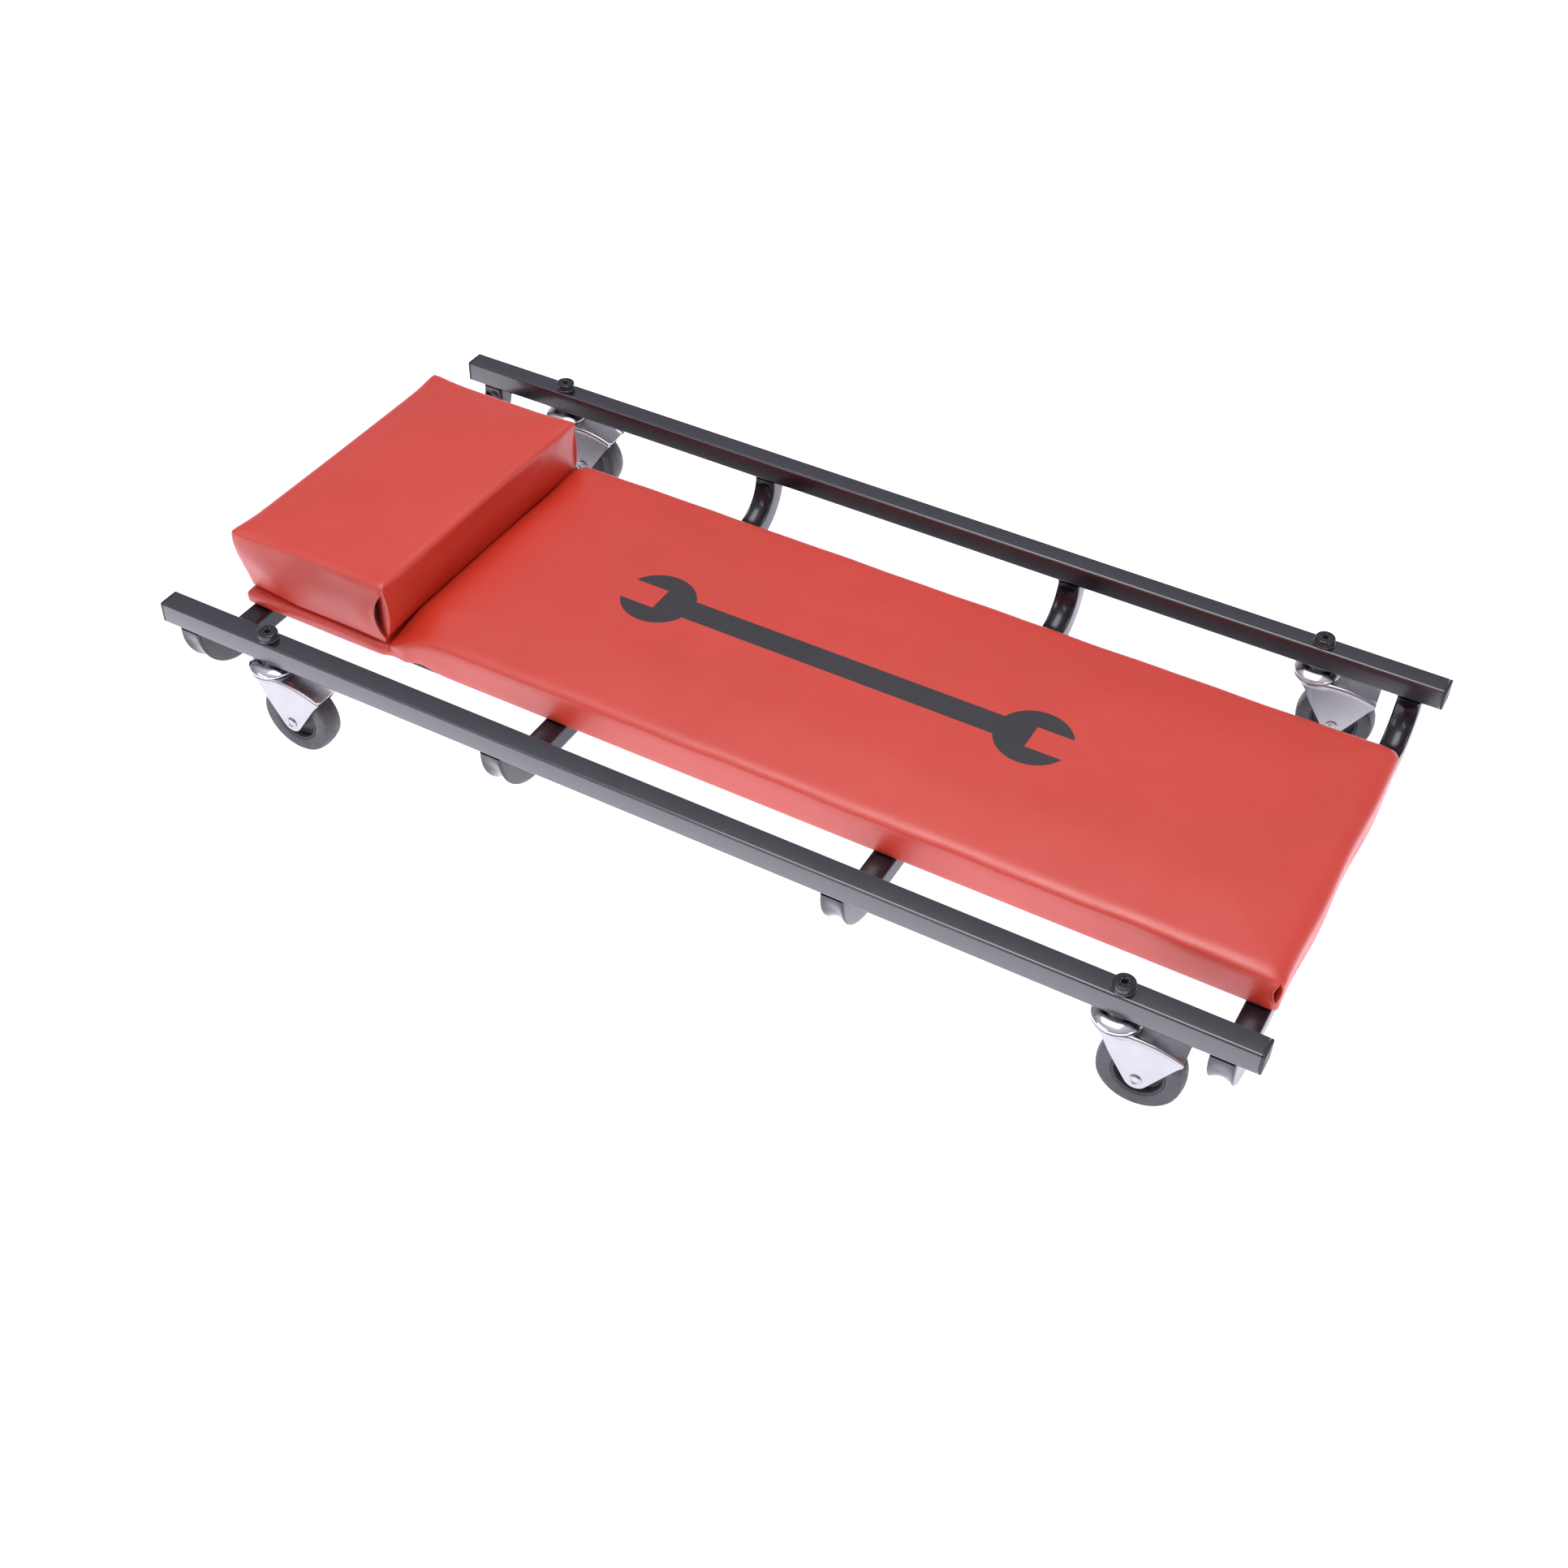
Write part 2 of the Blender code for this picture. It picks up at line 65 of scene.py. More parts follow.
# Caster sizes, about a stem at x = y = 0 with the floor at z = 0 and the trail along +X
TRAIL = 22.5 * MM
AXLE_Z = JOINTS["wheel_spin_head_near"]["pos_m"][2]
WHEEL_HALF = 9.5 * MM
TYRE_INNER = 19.0 * MM
PLATE_HALF = 14.5 * MM
PLATE_TUCK = PLATE_HALF - 0.3 * MM
CROWN_RADIUS = 18.4 * MM
CROWN_TOP = 71.0 * MM
RIDGE_ROUND = 2.3 * MM
FORK_REAR = 51.5 * MM
TIP_RADIUS = 8.3 * MM
PLATE_LEAN = math.radians(32.8)
RACEWAY_TOP = 77.3 * MM
STEM_HOLE = 4.3 * MM
BOLT_TOP = 105.3 * MM


# Modelling helpers


def deselect_all():
    if bpy.context.object and bpy.context.object.mode != "OBJECT":
        bpy.ops.object.mode_set(mode="OBJECT")
    bpy.ops.object.select_all(action="DESELECT")


def take(obj):
    """Makes this object the only selected one."""
    deselect_all()
    obj.select_set(True)
    bpy.context.view_layer.objects.active = obj


def added(name):
    """Names the primitive that was just added."""
    obj = bpy.context.object
    obj.name = name
    obj.data.name = name
    return obj


def cube(name, low, high):
    deselect_all()
    bpy.ops.mesh.primitive_cube_add(size=1, location=(Vector(low) + Vector(high)) / 2)
    obj = added(name)
    obj.scale = Vector(high) - Vector(low)
    settle(obj)
    return obj


def settle(obj):
    """Puts an object's place, turn and scale into its mesh."""
    take(obj)
    bpy.ops.object.transform_apply(location=True, rotation=True, scale=True)


def choose(obj, test, kind="FACE"):
    """In edit mode, selects the vertices, edges or faces whose centre and normal pass the test."""
    bpy.ops.mesh.select_all(action="DESELECT")
    bpy.ops.mesh.select_mode(type=kind)
    shape = bmesh.from_edit_mesh(obj.data)
    for item in {"VERT": shape.verts, "EDGE": shape.edges, "FACE": shape.faces}[kind]:
        if kind == "VERT":
            centre, normal = item.co, item.normal
        elif kind == "EDGE":
            centre = (item.verts[0].co + item.verts[1].co) / 2
            normal = (item.verts[1].co - item.verts[0].co).normalized()
        else:
            centre, normal = item.calc_center_median(), item.normal
        item.select_set(bool(test(centre, normal)))
    shape.select_flush_mode()
    bmesh.update_edit_mesh(obj.data)


def edit(obj):
    take(obj)
    bpy.ops.object.mode_set(mode="EDIT")
    bpy.ops.mesh.select_all(action="DESELECT")


def leave_edit():
    bpy.ops.object.mode_set(mode="OBJECT")


def bevel_edges(obj, test, width, segments, profile=0.5):
    """Rounds the edges whose middle and direction pass the test."""
    edit(obj)
    choose(obj, test, "EDGE")
    bpy.ops.mesh.bevel(offset=width, segments=segments, profile=profile, affect="EDGES")
    leave_edit()


def use(obj, kind, **settings):
    """Adds a modifier and applies it."""
    take(obj)
    made = obj.modifiers.new(kind.lower(), kind)
    for key, value in settings.items():
        setattr(made, key, value)
    bpy.ops.object.modifier_apply(modifier=made.name)


def cut_out(obj, tool):
    """Cuts the tool's shape from a piece, and removes the tool."""
    use(obj, "BOOLEAN", operation="DIFFERENCE", object=tool)
    bpy.data.objects.remove(tool, do_unlink=True)


def smooth(obj, degrees=35):
    take(obj)
    bpy.ops.object.shade_smooth_by_angle(angle=math.radians(degrees))


def reshape(obj, rule):
    """Moves every vertex to rule(x, y, z), which takes and returns arrays."""
    mesh = obj.data
    points = np.empty(len(mesh.vertices) * 3)
    mesh.vertices.foreach_get("co", points)
    points = points.reshape(-1, 3)
    moved = np.stack(rule(*points.T), axis=1)
    mesh.vertices.foreach_set("co", moved.ravel())
    mesh.update()


def fade(value, low, high):
    """0 below low, 1 above high, and smooth between them."""
    share = np.clip((value - low) / (high - low), 0, 1)
    return share * share * (3 - 2 * share)


def turn(name, outline, steps, along="Z", centre=(0, 0, 0)):
    """A piece of revolution: its outline is extruded point by point and spun about the axis."""
    deselect_all()
    bpy.ops.mesh.primitive_plane_add(size=MM)
    obj = added(name)
    bpy.ops.object.mode_set(mode="EDIT")
    bpy.ops.mesh.select_mode(type="VERT")
    bpy.ops.mesh.select_all(action="SELECT")
    bpy.ops.mesh.merge(type="CENTER")
    at = Vector((0, 0, 0))
    for number, (radius, height) in enumerate(outline):
        goal = Vector((radius, 0, height))
        if number == 0:
            bpy.ops.transform.translate(value=goal)
        else:
            bpy.ops.mesh.extrude_region_move(TRANSFORM_OT_translate={"value": goal - at})
        at = goal
    closed = outline[0][0] > 0
    if closed:
        first = Vector((outline[0][0], 0, outline[0][1]))
        choose(obj, lambda c, n: (c - first).length < 1e-7 or (c - at).length < 1e-7, "VERT")
        bpy.ops.mesh.edge_face_add()
    bpy.ops.mesh.select_all(action="SELECT")
    bpy.ops.mesh.spin(steps=steps, angle=math.tau, center=(0, 0, 0), axis=(0, 0, 1))
    bpy.ops.mesh.select_all(action="SELECT")
    bpy.ops.mesh.remove_doubles(threshold=1e-6)
    bpy.ops.mesh.normals_make_consistent(inside=False)
    leave_edit()
    if along == "Y":
        obj.rotation_euler.x = math.radians(90)
    obj.location = centre
    settle(obj)
    return obj


def arc(centre, radius, start, end, steps):
    """Points (radius, height) on an arc, angles in degrees."""
    angles = [math.radians(start + (end - start) * step / steps) for step in range(steps + 1)]
    return [(centre[0] + radius * math.cos(a), centre[1] + radius * math.sin(a)) for a in angles]


def finished(obj, body, material, slot, *nodes):
    """Gives a piece its material, the body it rides on and the CAD nodes it stands for."""
    settle(obj)
    obj.data.materials.clear()
    obj.data.materials.append(material)
    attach(obj, body)
    if nodes:
        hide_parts(*nodes)
    return obj


# Materials


def put(tree, kind, values=None, **settings):
    """Adds a node. A value that is a socket is linked, and any other is set."""
    node = tree.nodes.new(kind)
    for key, value in settings.items():
        setattr(node, key, value)
    for key, value in (values or {}).items():
        if isinstance(value, bpy.types.NodeSocket):
            tree.links.new(value, node.inputs[key])
        else:
            node.inputs[key].default_value = value
    return node


def blank(name):
    """A new material, its tree, its shader and the object coordinates."""
    material = bpy.data.materials.new(name)
    material.use_nodes = True
    tree = material.node_tree
    shader = tree.nodes["Principled BSDF"]
    place = put(tree, "ShaderNodeTexCoord").outputs["Object"]
    return material, tree, shader, place


def noise(tree, place, scale, detail=3.0, rough=0.5):
    values = {"Vector": place, "Scale": scale, "Detail": detail, "Roughness": rough}
    return put(tree, "ShaderNodeTexNoise", values).outputs["Fac"]


def between(tree, value, low, high, start=0.3, end=0.7):
    """Maps start..end, at first a pattern's middle range, to low..high."""
    values = {"Value": value, "From Min": start, "From Max": end, "To Min": low, "To Max": high}
    return put(tree, "ShaderNodeMapRange", values).outputs["Result"]


def sums(tree, operation, *values):
    """The result of one Math node."""
    made = put(tree, "ShaderNodeMath", dict(enumerate(values)), operation=operation)
    return made.outputs[0]


def mixed(tree, share, first, second):
    """One colour blended into another."""
    values = {"Factor": share, 6: first, 7: second}
    return put(tree, "ShaderNodeMix", values, data_type="RGBA").outputs[2]


def bumped(tree, shader, height, distance, strength=1.0, under=None):
    """Adds a bump, over another one where there is one, and gives it to the shader."""
    values = {"Height": height, "Distance": distance, "Strength": strength}
    if under is not None:
        values["Normal"] = under
    made = put(tree, "ShaderNodeBump", values).outputs["Normal"]
    tree.links.new(made, shader.inputs["Normal"])
    return made


def powder_coat(name, sheen):
    """Satin black powder coat: a faint orange peel, dust-fine speckle and slight changes in gloss."""
    material, tree, shader, place = blank(name)
    tone = between(tree, noise(tree, place, 900, 2), 0, 1)
    colour = mixed(tree, tone, (0.0040, 0.0033, 0.0065, 1), (0.0072, 0.0062, 0.0112, 1))
    tree.links.new(colour, shader.inputs["Base Color"])
    gloss = between(tree, noise(tree, place, 40, 3), 0.24, 0.31)
    tree.links.new(gloss, shader.inputs["Roughness"])
    shader.inputs["Specular IOR Level"].default_value = 0.4 + 0.5 * sheen
    shader.inputs["Coat Weight"].default_value = 0.55 * sheen
    shader.inputs["Coat Roughness"].default_value = 0.12
    peel = bumped(tree, shader, noise(tree, place, 420, 2), 0.000012, 0.3)
    bumped(tree, shader, noise(tree, place, 1500, 1), 0.000004, 0.25, peel)
    return material


def moulded_black(name, tint, gloss):
    """Moulded black plastic with a fine spark texture."""
    material, tree, shader, place = blank(name)
    tone = between(tree, noise(tree, place, 250, 4), 0, 1)
    dark = tuple(0.75 * c for c in tint)
    patchy = between(tree, noise(tree, place, 60, 2), gloss - 0.06, gloss + 0.08)
    tree.links.new(mixed(tree, tone, (*dark, 1), (*tint, 1)), shader.inputs["Base Color"])
    tree.links.new(patchy, shader.inputs["Roughness"])
    bumped(tree, shader, noise(tree, place, 1800, 2), 0.00004, 0.7)
    return material


def black_oxide():
    """Black fastener steel: dark metal with a little oil sheen, and brighter edges that are partly wear and
    partly a painted highlight.
    """
    material, tree, shader, place = blank("black_oxide")
    patch = noise(tree, place, 320, 5, 0.6)
    colour = mixed(tree, between(tree, patch, 0, 1), (0.004, 0.004, 0.006, 1), (0.009, 0.009, 0.012, 1))
    # Brighter edges by pointiness: partly wear, partly a painted highlight on the rims
    edge = put(tree, "ShaderNodeNewGeometry").outputs["Pointiness"]
    edge_wear_and_highlight = between(tree, edge, 0, 0.6, 0.52, 0.6)
    tree.links.new(mixed(tree, edge_wear_and_highlight, colour, (0.16, 0.16, 0.17, 1)), shader.inputs["Base Color"])
    shader.inputs["Metallic"].default_value = 0.2
    shader.inputs["Specular IOR Level"].default_value = 0.5
    shader.inputs["Coat Weight"].default_value = 0.15
    shader.inputs["Coat Roughness"].default_value = 0.1
    tree.links.new(between(tree, noise(tree, place, 120, 3), 0.16, 0.24), shader.inputs["Roughness"])
    bumped(tree, shader, noise(tree, place, 900, 3), 0.00003, 0.6)
    return material


def plated(name, tint, low, high, grain, wave):
    """Bright plating: cloudy gloss, fine stamping lines and a soft unevenness of the sheet."""
    material, tree, shader, place = blank(name)
    cloud = noise(tree, place, 55, 5, 0.6)
    dim = tuple(0.92 * c for c in tint)
    colour = mixed(tree, between(tree, cloud, 0, 1), (*dim, 1), (*tint, 1))
    tree.links.new(colour, shader.inputs["Base Color"])
    shader.inputs["Metallic"].default_value = 1.0
    tree.links.new(between(tree, noise(tree, place, 160, 4), low, high), shader.inputs["Roughness"])
    drawn = {"Vector": place, "Scale": (0.25, 1.0, 1.6)}
    along = put(tree, "ShaderNodeMapping", drawn).outputs["Vector"]
    waves = bumped(tree, shader, noise(tree, place, 60, 2), wave, 0.5)
    bumped(tree, shader, noise(tree, along, 1400, 3), grain, 0.5, waves)
    return material


def hard_rubber():
    """Dark-grey wheel rubber: matt, a little dusty, with fine moulding texture."""
    material, tree, shader, place = blank("wheel_rubber")
    dust = between(tree, noise(tree, place, 90, 5, 0.65), 0, 1)
    colour = mixed(tree, dust, (0.030, 0.029, 0.033, 1), (0.050, 0.049, 0.054, 1))
    tree.links.new(colour, shader.inputs["Base Color"])
    tree.links.new(between(tree, noise(tree, place, 200, 3), 0.45, 0.6), shader.inputs["Roughness"])
    shader.inputs["Specular IOR Level"].default_value = 0.6
    bumped(tree, shader, noise(tree, place, 2200, 2), 0.00003, 0.7)
    return material


def spanner_print(tree, place):
    """A plain printed open-ended spanner along the bed: 1 inside its outline and 0 outside."""
    centre, reach = 0.035, 0.165
    shaft_half, head_radius = 0.0115, 0.031
    jaw_half, jaw_start = 0.0125, -0.002
    split = put(tree, "ShaderNodeSeparateXYZ", {"Vector": place})
    x, y = split.outputs["X"], split.outputs["Y"]
    along = sums(tree, "ABSOLUTE", sums(tree, "SUBTRACT", x, centre))
    across = sums(tree, "ABSOLUTE", y)
    past_head = sums(tree, "SUBTRACT", along, reach)
    in_length = sums(tree, "LESS_THAN", along, reach)
    in_width = sums(tree, "LESS_THAN", across, shaft_half)
    shaft = sums(tree, "MULTIPLY", in_length, in_width)
    square_x = sums(tree, "MULTIPLY", past_head, past_head)
    square_y = sums(tree, "MULTIPLY", y, y)
    head = sums(tree, "LESS_THAN", sums(tree, "ADD", square_x, square_y), head_radius**2)
    in_gap = sums(tree, "LESS_THAN", across, jaw_half)
    in_jaw = sums(tree, "GREATER_THAN", past_head, jaw_start)
    jaw = sums(tree, "MULTIPLY", in_gap, in_jaw)
    body = sums(tree, "MAXIMUM", shaft, head)
    return sums(tree, "MULTIPLY", body, sums(tree, "SUBTRACT", 1.0, jaw))


def red_vinyl(name, printed):
    """Red upholstery vinyl: fine pebbled grain, soft gloss and slow changes of tone, with painted shade
    inside its folds. The bed carries a print."""
    material, tree, shader, place = blank(name)
    slow = between(tree, noise(tree, place, 7, 3), 0, 1)
    red = mixed(tree, slow, (0.485, 0.027, 0.0095, 1), (0.53, 0.031, 0.0115, 1))
    gloss = between(tree, noise(tree, place, 30, 3), 0.38, 0.46)
    if printed:
        red = mixed(tree, spanner_print(tree, place), red, (0.006, 0.005, 0.007, 1))
    # Painted shade: the base colour turns deep dark red where the "fold" attribute says a point lies deep
    # in a fold
    fold = put(tree, "ShaderNodeAttribute", attribute_name="fold").outputs["Fac"]
    red = mixed(tree, between(tree, fold, 0, 0.93, 0.15, 0.75), red, (0.07, 0.002, 0.004, 1))
    tree.links.new(red, shader.inputs["Base Color"])
    tree.links.new(gloss, shader.inputs["Roughness"])
    shader.inputs["Specular IOR Level"].default_value = 0.9
    pebble = put(tree, "ShaderNodeTexVoronoi", {"Vector": place, "Scale": 1100.0}, feature="SMOOTH_F1")
    soft = bumped(tree, shader, noise(tree, place, 45, 2), 0.0004, 0.35)
    fine = bumped(tree, shader, pebble.outputs["Distance"], 0.00012, 0.5, soft)
    bumped(tree, shader, noise(tree, place, 2600, 2), 0.00004, 0.5, fine)
    return material


def dark_board():
    """The board's painted underside: dark fibreboard with flecks and faint roller marks."""
    material, tree, shader, place = blank("board_dark")
    rolled = {"Vector": place, "Scale": (0.12, 1.0, 1.0)}
    stretched = put(tree, "ShaderNodeMapping", rolled).outputs["Vector"]
    fibre = between(tree, noise(tree, stretched, 220, 5, 0.65), 0, 1)
    colour = mixed(tree, fibre, (0.012, 0.011, 0.010, 1), (0.034, 0.031, 0.028, 1))
    tree.links.new(colour, shader.inputs["Base Color"])
    tree.links.new(between(tree, noise(tree, place, 35, 3), 0.6, 0.8), shader.inputs["Roughness"])
    bumped(tree, shader, noise(tree, stretched, 700, 4), 0.0001, 0.6)
    return material


# The frame


def side_rail(name, material):
    """A square tube with rounded corners, drawn down its length."""
    low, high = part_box(name)
    rail = cube(f"{name}_tube", low, high)
    bevel_edges(rail, lambda c, n: abs(n.x) > 0.9, 2.1 * MM, 5)
    smooth(rail, 40)
    return finished(rail, "frame", material, "frame_black", name)


def rail_cap(spot, material):
    """A plastic plug with a slightly domed flange, and a shadow gap against the tube."""
    node = f"rail_cap_{spot}"
    low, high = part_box(node)
    end = 1 if high.x > 0 else -1
    outer = high.x if end > 0 else low.x
    flange = 2.5 * MM
    head_x, foot_x = sorted((outer, outer - end * flange))
    cap = cube(f"{node}_plug", (head_x, low.y, low.z), (foot_x, high.y, high.z))
    bevel_edges(cap, lambda c, n: abs(n.x) > 0.9, 2.2 * MM, 5)
    edit(cap)
    choose(cap, lambda c, n: n.x * end > 0.9)
    bpy.ops.mesh.bevel(offset=1.1 * MM, segments=4, affect="EDGES")
    middle = (outer, (low.y + high.y) / 2, (low.z + high.z) / 2)
    for size, rise in ((0.93, 0.0), (0.86, -0.35 * MM), (0.6, -0.35 * MM)):
        choose(cap, lambda c, n: n.x * end > 0.99 and (c - Vector(middle)).length < 2 * MM)
        bpy.ops.mesh.extrude_region_move(TRANSFORM_OT_translate={"value": (end * rise, 0, 0)})
        bpy.ops.transform.resize(value=(1, size, size), center_override=middle)
    leave_edit()
    smooth(cap, 50)
    return finished(cap, "frame", material, "cap_black", node)


def cross_member(number, material):
    """A square tube bent up at its ends. The bending die leaves the inner and outer faces dished."""
    node = f"cross_member_{number}"
    low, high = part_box(node)
    x = (low.x + high.x) / 2
    half = TUBE / 2
    bend_radius = 37.5 * MM
    bend_y = RAIL_Y - bend_radius
    bend_z = low.z + half + bend_radius
    inner_dish, outer_dish = 4.2 * MM, 3.4 * MM
    deselect_all()
    bpy.ops.mesh.primitive_plane_add(size=TUBE, location=(x, RAIL_Y, high.z))
    tube = added(f"{node}_tube")
    settle(tube)
    edit(tube)
    bpy.ops.mesh.select_all(action="SELECT")
    bpy.ops.mesh.bevel(offset=2.4 * MM, segments=4, affect="VERTICES")
    choose(tube, lambda c, n: abs(max(abs(c.x - x), abs(c.y - RAIL_Y)) - half) < 1e-6, "EDGE")
    bpy.ops.mesh.subdivide(number_cuts=7)
    bpy.ops.mesh.select_all(action="SELECT")
    bpy.ops.mesh.extrude_region_move(TRANSFORM_OT_translate={"value": (0, 0, bend_z - high.z)})
    bpy.ops.mesh.spin(steps=26, angle=math.radians(90), center=(x, bend_y, bend_z), axis=(1, 0, 0))
    bpy.ops.mesh.extrude_region_move(TRANSFORM_OT_translate={"value": (0, -bend_y, 0)})
    bpy.ops.mesh.delete(type="ONLY_FACE")
    choose(tube, lambda c, n: abs(n.z) > 0.9 and abs(c.z - high.z) < 1e-6)
    bpy.ops.mesh.delete(type="ONLY_FACE")
    leave_edit()

    def dish(px, py, pz):
        """Pushes the middle of the bend's inner and outer faces towards the tube's centre."""
        angle = np.arctan2(bend_z - pz, py - bend_y)
        reach = np.hypot(py - bend_y, pz - bend_z)
        in_bend = (pz < bend_z + 3 * MM) & (py > bend_y - 12 * MM)
        share = np.clip(angle / math.radians(90), -0.1, 1.3)
        along = fade(share, -0.06, 0.22) * (1 - fade(share, 0.80, 1.12))
        across = np.clip(1 - ((px - x) / (half - 1.2 * MM)) ** 2, 0, 1) ** 0.8
        offset = reach - bend_radius
        outer = np.clip((offset - 0.6 * half) / (0.4 * half), 0, 1)
        inner = np.clip((-offset - 0.6 * half) / (0.4 * half), 0, 1)
        push = along * across * (inner_dish * inner - outer_dish * outer) * in_bend
        ripple = 0.15 * MM * along * across * inner * np.sin(angle * 9.0 + 1.0) * in_bend
        grown = (reach + push + ripple) / np.maximum(reach, 1e-6)
        spread = 1 + 0.035 * along * in_bend * (1 - np.abs(offset) / half * 0.5)
        return (
            x + (px - x) * spread,
            np.where(in_bend, bend_y + (py - bend_y) * grown, py),
            np.where(in_bend, bend_z + (pz - bend_z) * grown, pz),
        )

    reshape(tube, dish)
    use(tube, "MIRROR", use_axis=(False, True, False), use_clip=False, merge_threshold=0.0001)
    edit(tube)
    bpy.ops.mesh.select_all(action="SELECT")
    bpy.ops.mesh.normals_make_consistent(inside=False)
    leave_edit()
    smooth(tube, 55)
    return finished(tube, "frame", material, "frame_black", node)


def weld(number, end, side, material):
    """A short fillet weld with its ripples, between a cross-member's end and the rail."""
    low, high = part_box(f"cross_member_{number}")
    x = (low.x + high.x) / 2 + end * (TUBE / 2 + 0.2 * MM)
    z = RAIL_TOP - TUBE - 0.3 * MM
    length = 15 * MM
    rings = 30
    deselect_all()
    bpy.ops.mesh.primitive_cylinder_add(vertices=16, radius=1.7 * MM, depth=length)
    bead = added(f"weld_{number}_{'foot' if end > 0 else 'head'}_{'far' if side > 0 else 'near'}")
    bead.rotation_euler.x = math.radians(90)
    bead.location = (x, side * RAIL_Y, z)
    settle(bead)
    edit(bead)
    for step in range(1, rings):
        at = side * RAIL_Y - length / 2 + length * step / rings
        bpy.ops.mesh.select_all(action="SELECT")
        bpy.ops.mesh.bisect(plane_co=(x, at, z), plane_no=(0, 1, 0))
    leave_edit()

    def ripple(px, py, pz):
        along = (py - side * RAIL_Y) / (length / 2)
        size = np.sqrt(np.clip(1.02 - along**4, 0.02, 1)) * (1 + 0.10 * np.sin(along * 26 + number))
        return x + (px - x) * size, py, z + (pz - z) * size

    reshape(bead, ripple)
    smooth(bead, 70)
    return finished(bead, "frame", material, "frame_black")


# The casters


def lower_edge(x):
    """Height of the fork plate's lower edge at x: straight sides round a rounded tip."""
    front_x = TRAIL - TIP_RADIUS * math.cos(PLATE_LEAN)
    rear_x = TRAIL + TIP_RADIUS * math.cos(PLATE_LEAN)
    side_z = AXLE_Z - TIP_RADIUS * math.sin(PLATE_LEAN)
    if x < front_x:
        return side_z + (front_x - x) / math.tan(PLATE_LEAN)
    if x > rear_x:
        return side_z + (x - rear_x) / math.tan(PLATE_LEAN)
    return AXLE_Z - math.sqrt(max(TIP_RADIUS**2 - (x - TRAIL) ** 2, 0))


def hood_ridge(x):
    """Height of the ridge along each side of the hood."""
    behind = max(x - CROWN_RADIUS, 0) / (FORK_REAR - CROWN_RADIUS)
    return CROWN_TOP - 7 * MM * behind**2


def sheet_section(wide, ridge, sink, tuck, crease, low):
    """Points (out, up) over one side of the sheet: its sunk top, the rounded ridge, the crease below it
    and the plate down to its lower edge."""
    points = [(0.0, ridge - sink), (0.35 * wide, ridge - sink), (0.66 * wide, ridge - 0.92 * sink)]
    points.append((wide - 3.4 * MM, ridge - 0.15 * sink))
    out, up = wide - RIDGE_ROUND, ridge - 2.2 * MM
    for angle in (0.2, 0.75, 1.3, 1.75):
        points.append((out + RIDGE_ROUND * math.sin(angle), up + RIDGE_ROUND * math.cos(angle)))
    points += [(tuck + 0.4 * MM, crease + 0.25 * (up - crease)), (tuck, crease)]
    for share in (0.15, 0.4, 0.7, 0.93, 1.0):
        points.append((tuck, crease + (low - crease) * share))
    return points


def fork_section(x, side):
    """The sheet's points down one side of the fork, at x behind the stem."""
    wide = math.sqrt(max(CROWN_RADIUS**2 - x**2, PLATE_HALF**2))
    wide = max(wide, PLATE_HALF + 0.7 * MM)
    ridge = hood_ridge(x)
    sink = 3.2 * MM * float(fade(x, CROWN_RADIUS - 3 * MM, CROWN_RADIUS + 9 * MM))
    low = min(lower_edge(x), ridge - 4.6 * MM)
    crease = ridge - 4.2 * MM - 2.6 * MM * float(fade(14 * MM - x, 0, 8 * MM))
    crease = max(crease, low + 0.3 * MM)
    return [(x, side * out, up) for out, up in sheet_section(wide, ridge, sink, PLATE_TUCK, crease, low)]


def crown_section(turned):
    """The same points round the front of the crown, where turned is 0 at one side and 180 at the other."""
    share = 1 - min(turned, 180 - turned) / 90
    skirt = 66.0 * MM
    low = skirt - (skirt - lower_edge(0.0)) * share**4.5
    tuck = PLATE_TUCK + (CROWN_RADIUS - 1.6 * MM - PLATE_HALF) * (1 - share**2)
    crease = max(CROWN_TOP - 6.8 * MM, low + 0.3 * MM)
    sine, cosine = math.sin(math.radians(turned)), math.cos(math.radians(turned))
    points = sheet_section(CROWN_RADIUS, CROWN_TOP, 0.0, tuck, crease, low)
    return [(-sine * out, cosine * out, up) for out, up in points]


def fork_shape():
    """A stamped sheet fork: a grid laid over the crown, hood and plates, then thickened."""
    front = [place * MM for place in (0, 3, 6, 9, 12)]
    tip = [TRAIL - TIP_RADIUS * math.cos(math.pi * (0.5 + (step - 4) / 9.6)) for step in range(9)]
    rear = [place * MM for place in (33, 37, 41, 45, 48.5)]
    stations = sorted({*front, *tip, *rear, FORK_REAR})
    rows = [fork_section(x, 1) for x in stations[::-1]]
    rows += [crown_section(turned) for turned in range(10, 180, 10)]
    rows += [fork_section(x, -1) for x in stations]
    long, wide = len(rows) - 1, len(rows[0]) - 1
    deselect_all()
    bpy.ops.mesh.primitive_grid_add(x_subdivisions=long, y_subdivisions=wide, size=1)
    fork = added("fork")
    for vertex in fork.data.vertices:
        row = rows[round((vertex.co.x + 0.5) * long)]
        vertex.co = row[round((vertex.co.y + 0.5) * wide)]
    edit(fork)
    bpy.ops.mesh.select_all(action="SELECT")
    bpy.ops.mesh.remove_doubles(threshold=1e-6)
    bpy.ops.mesh.normals_make_consistent(inside=False)
    leave_edit()
    if fork.data.polygons[0].normal.z < 0:
        fork.data.flip_normals()
    use(fork, "SOLIDIFY", thickness=2.0 * MM, offset=-1, use_even_offset=True)
    use(fork, "BEVEL", width=0.35 * MM, segments=2, limit_method="ANGLE", angle_limit=math.radians(50))
    use(fork, "SUBSURF", levels=1, render_levels=1)
    smooth(fork, 60)
    return fork


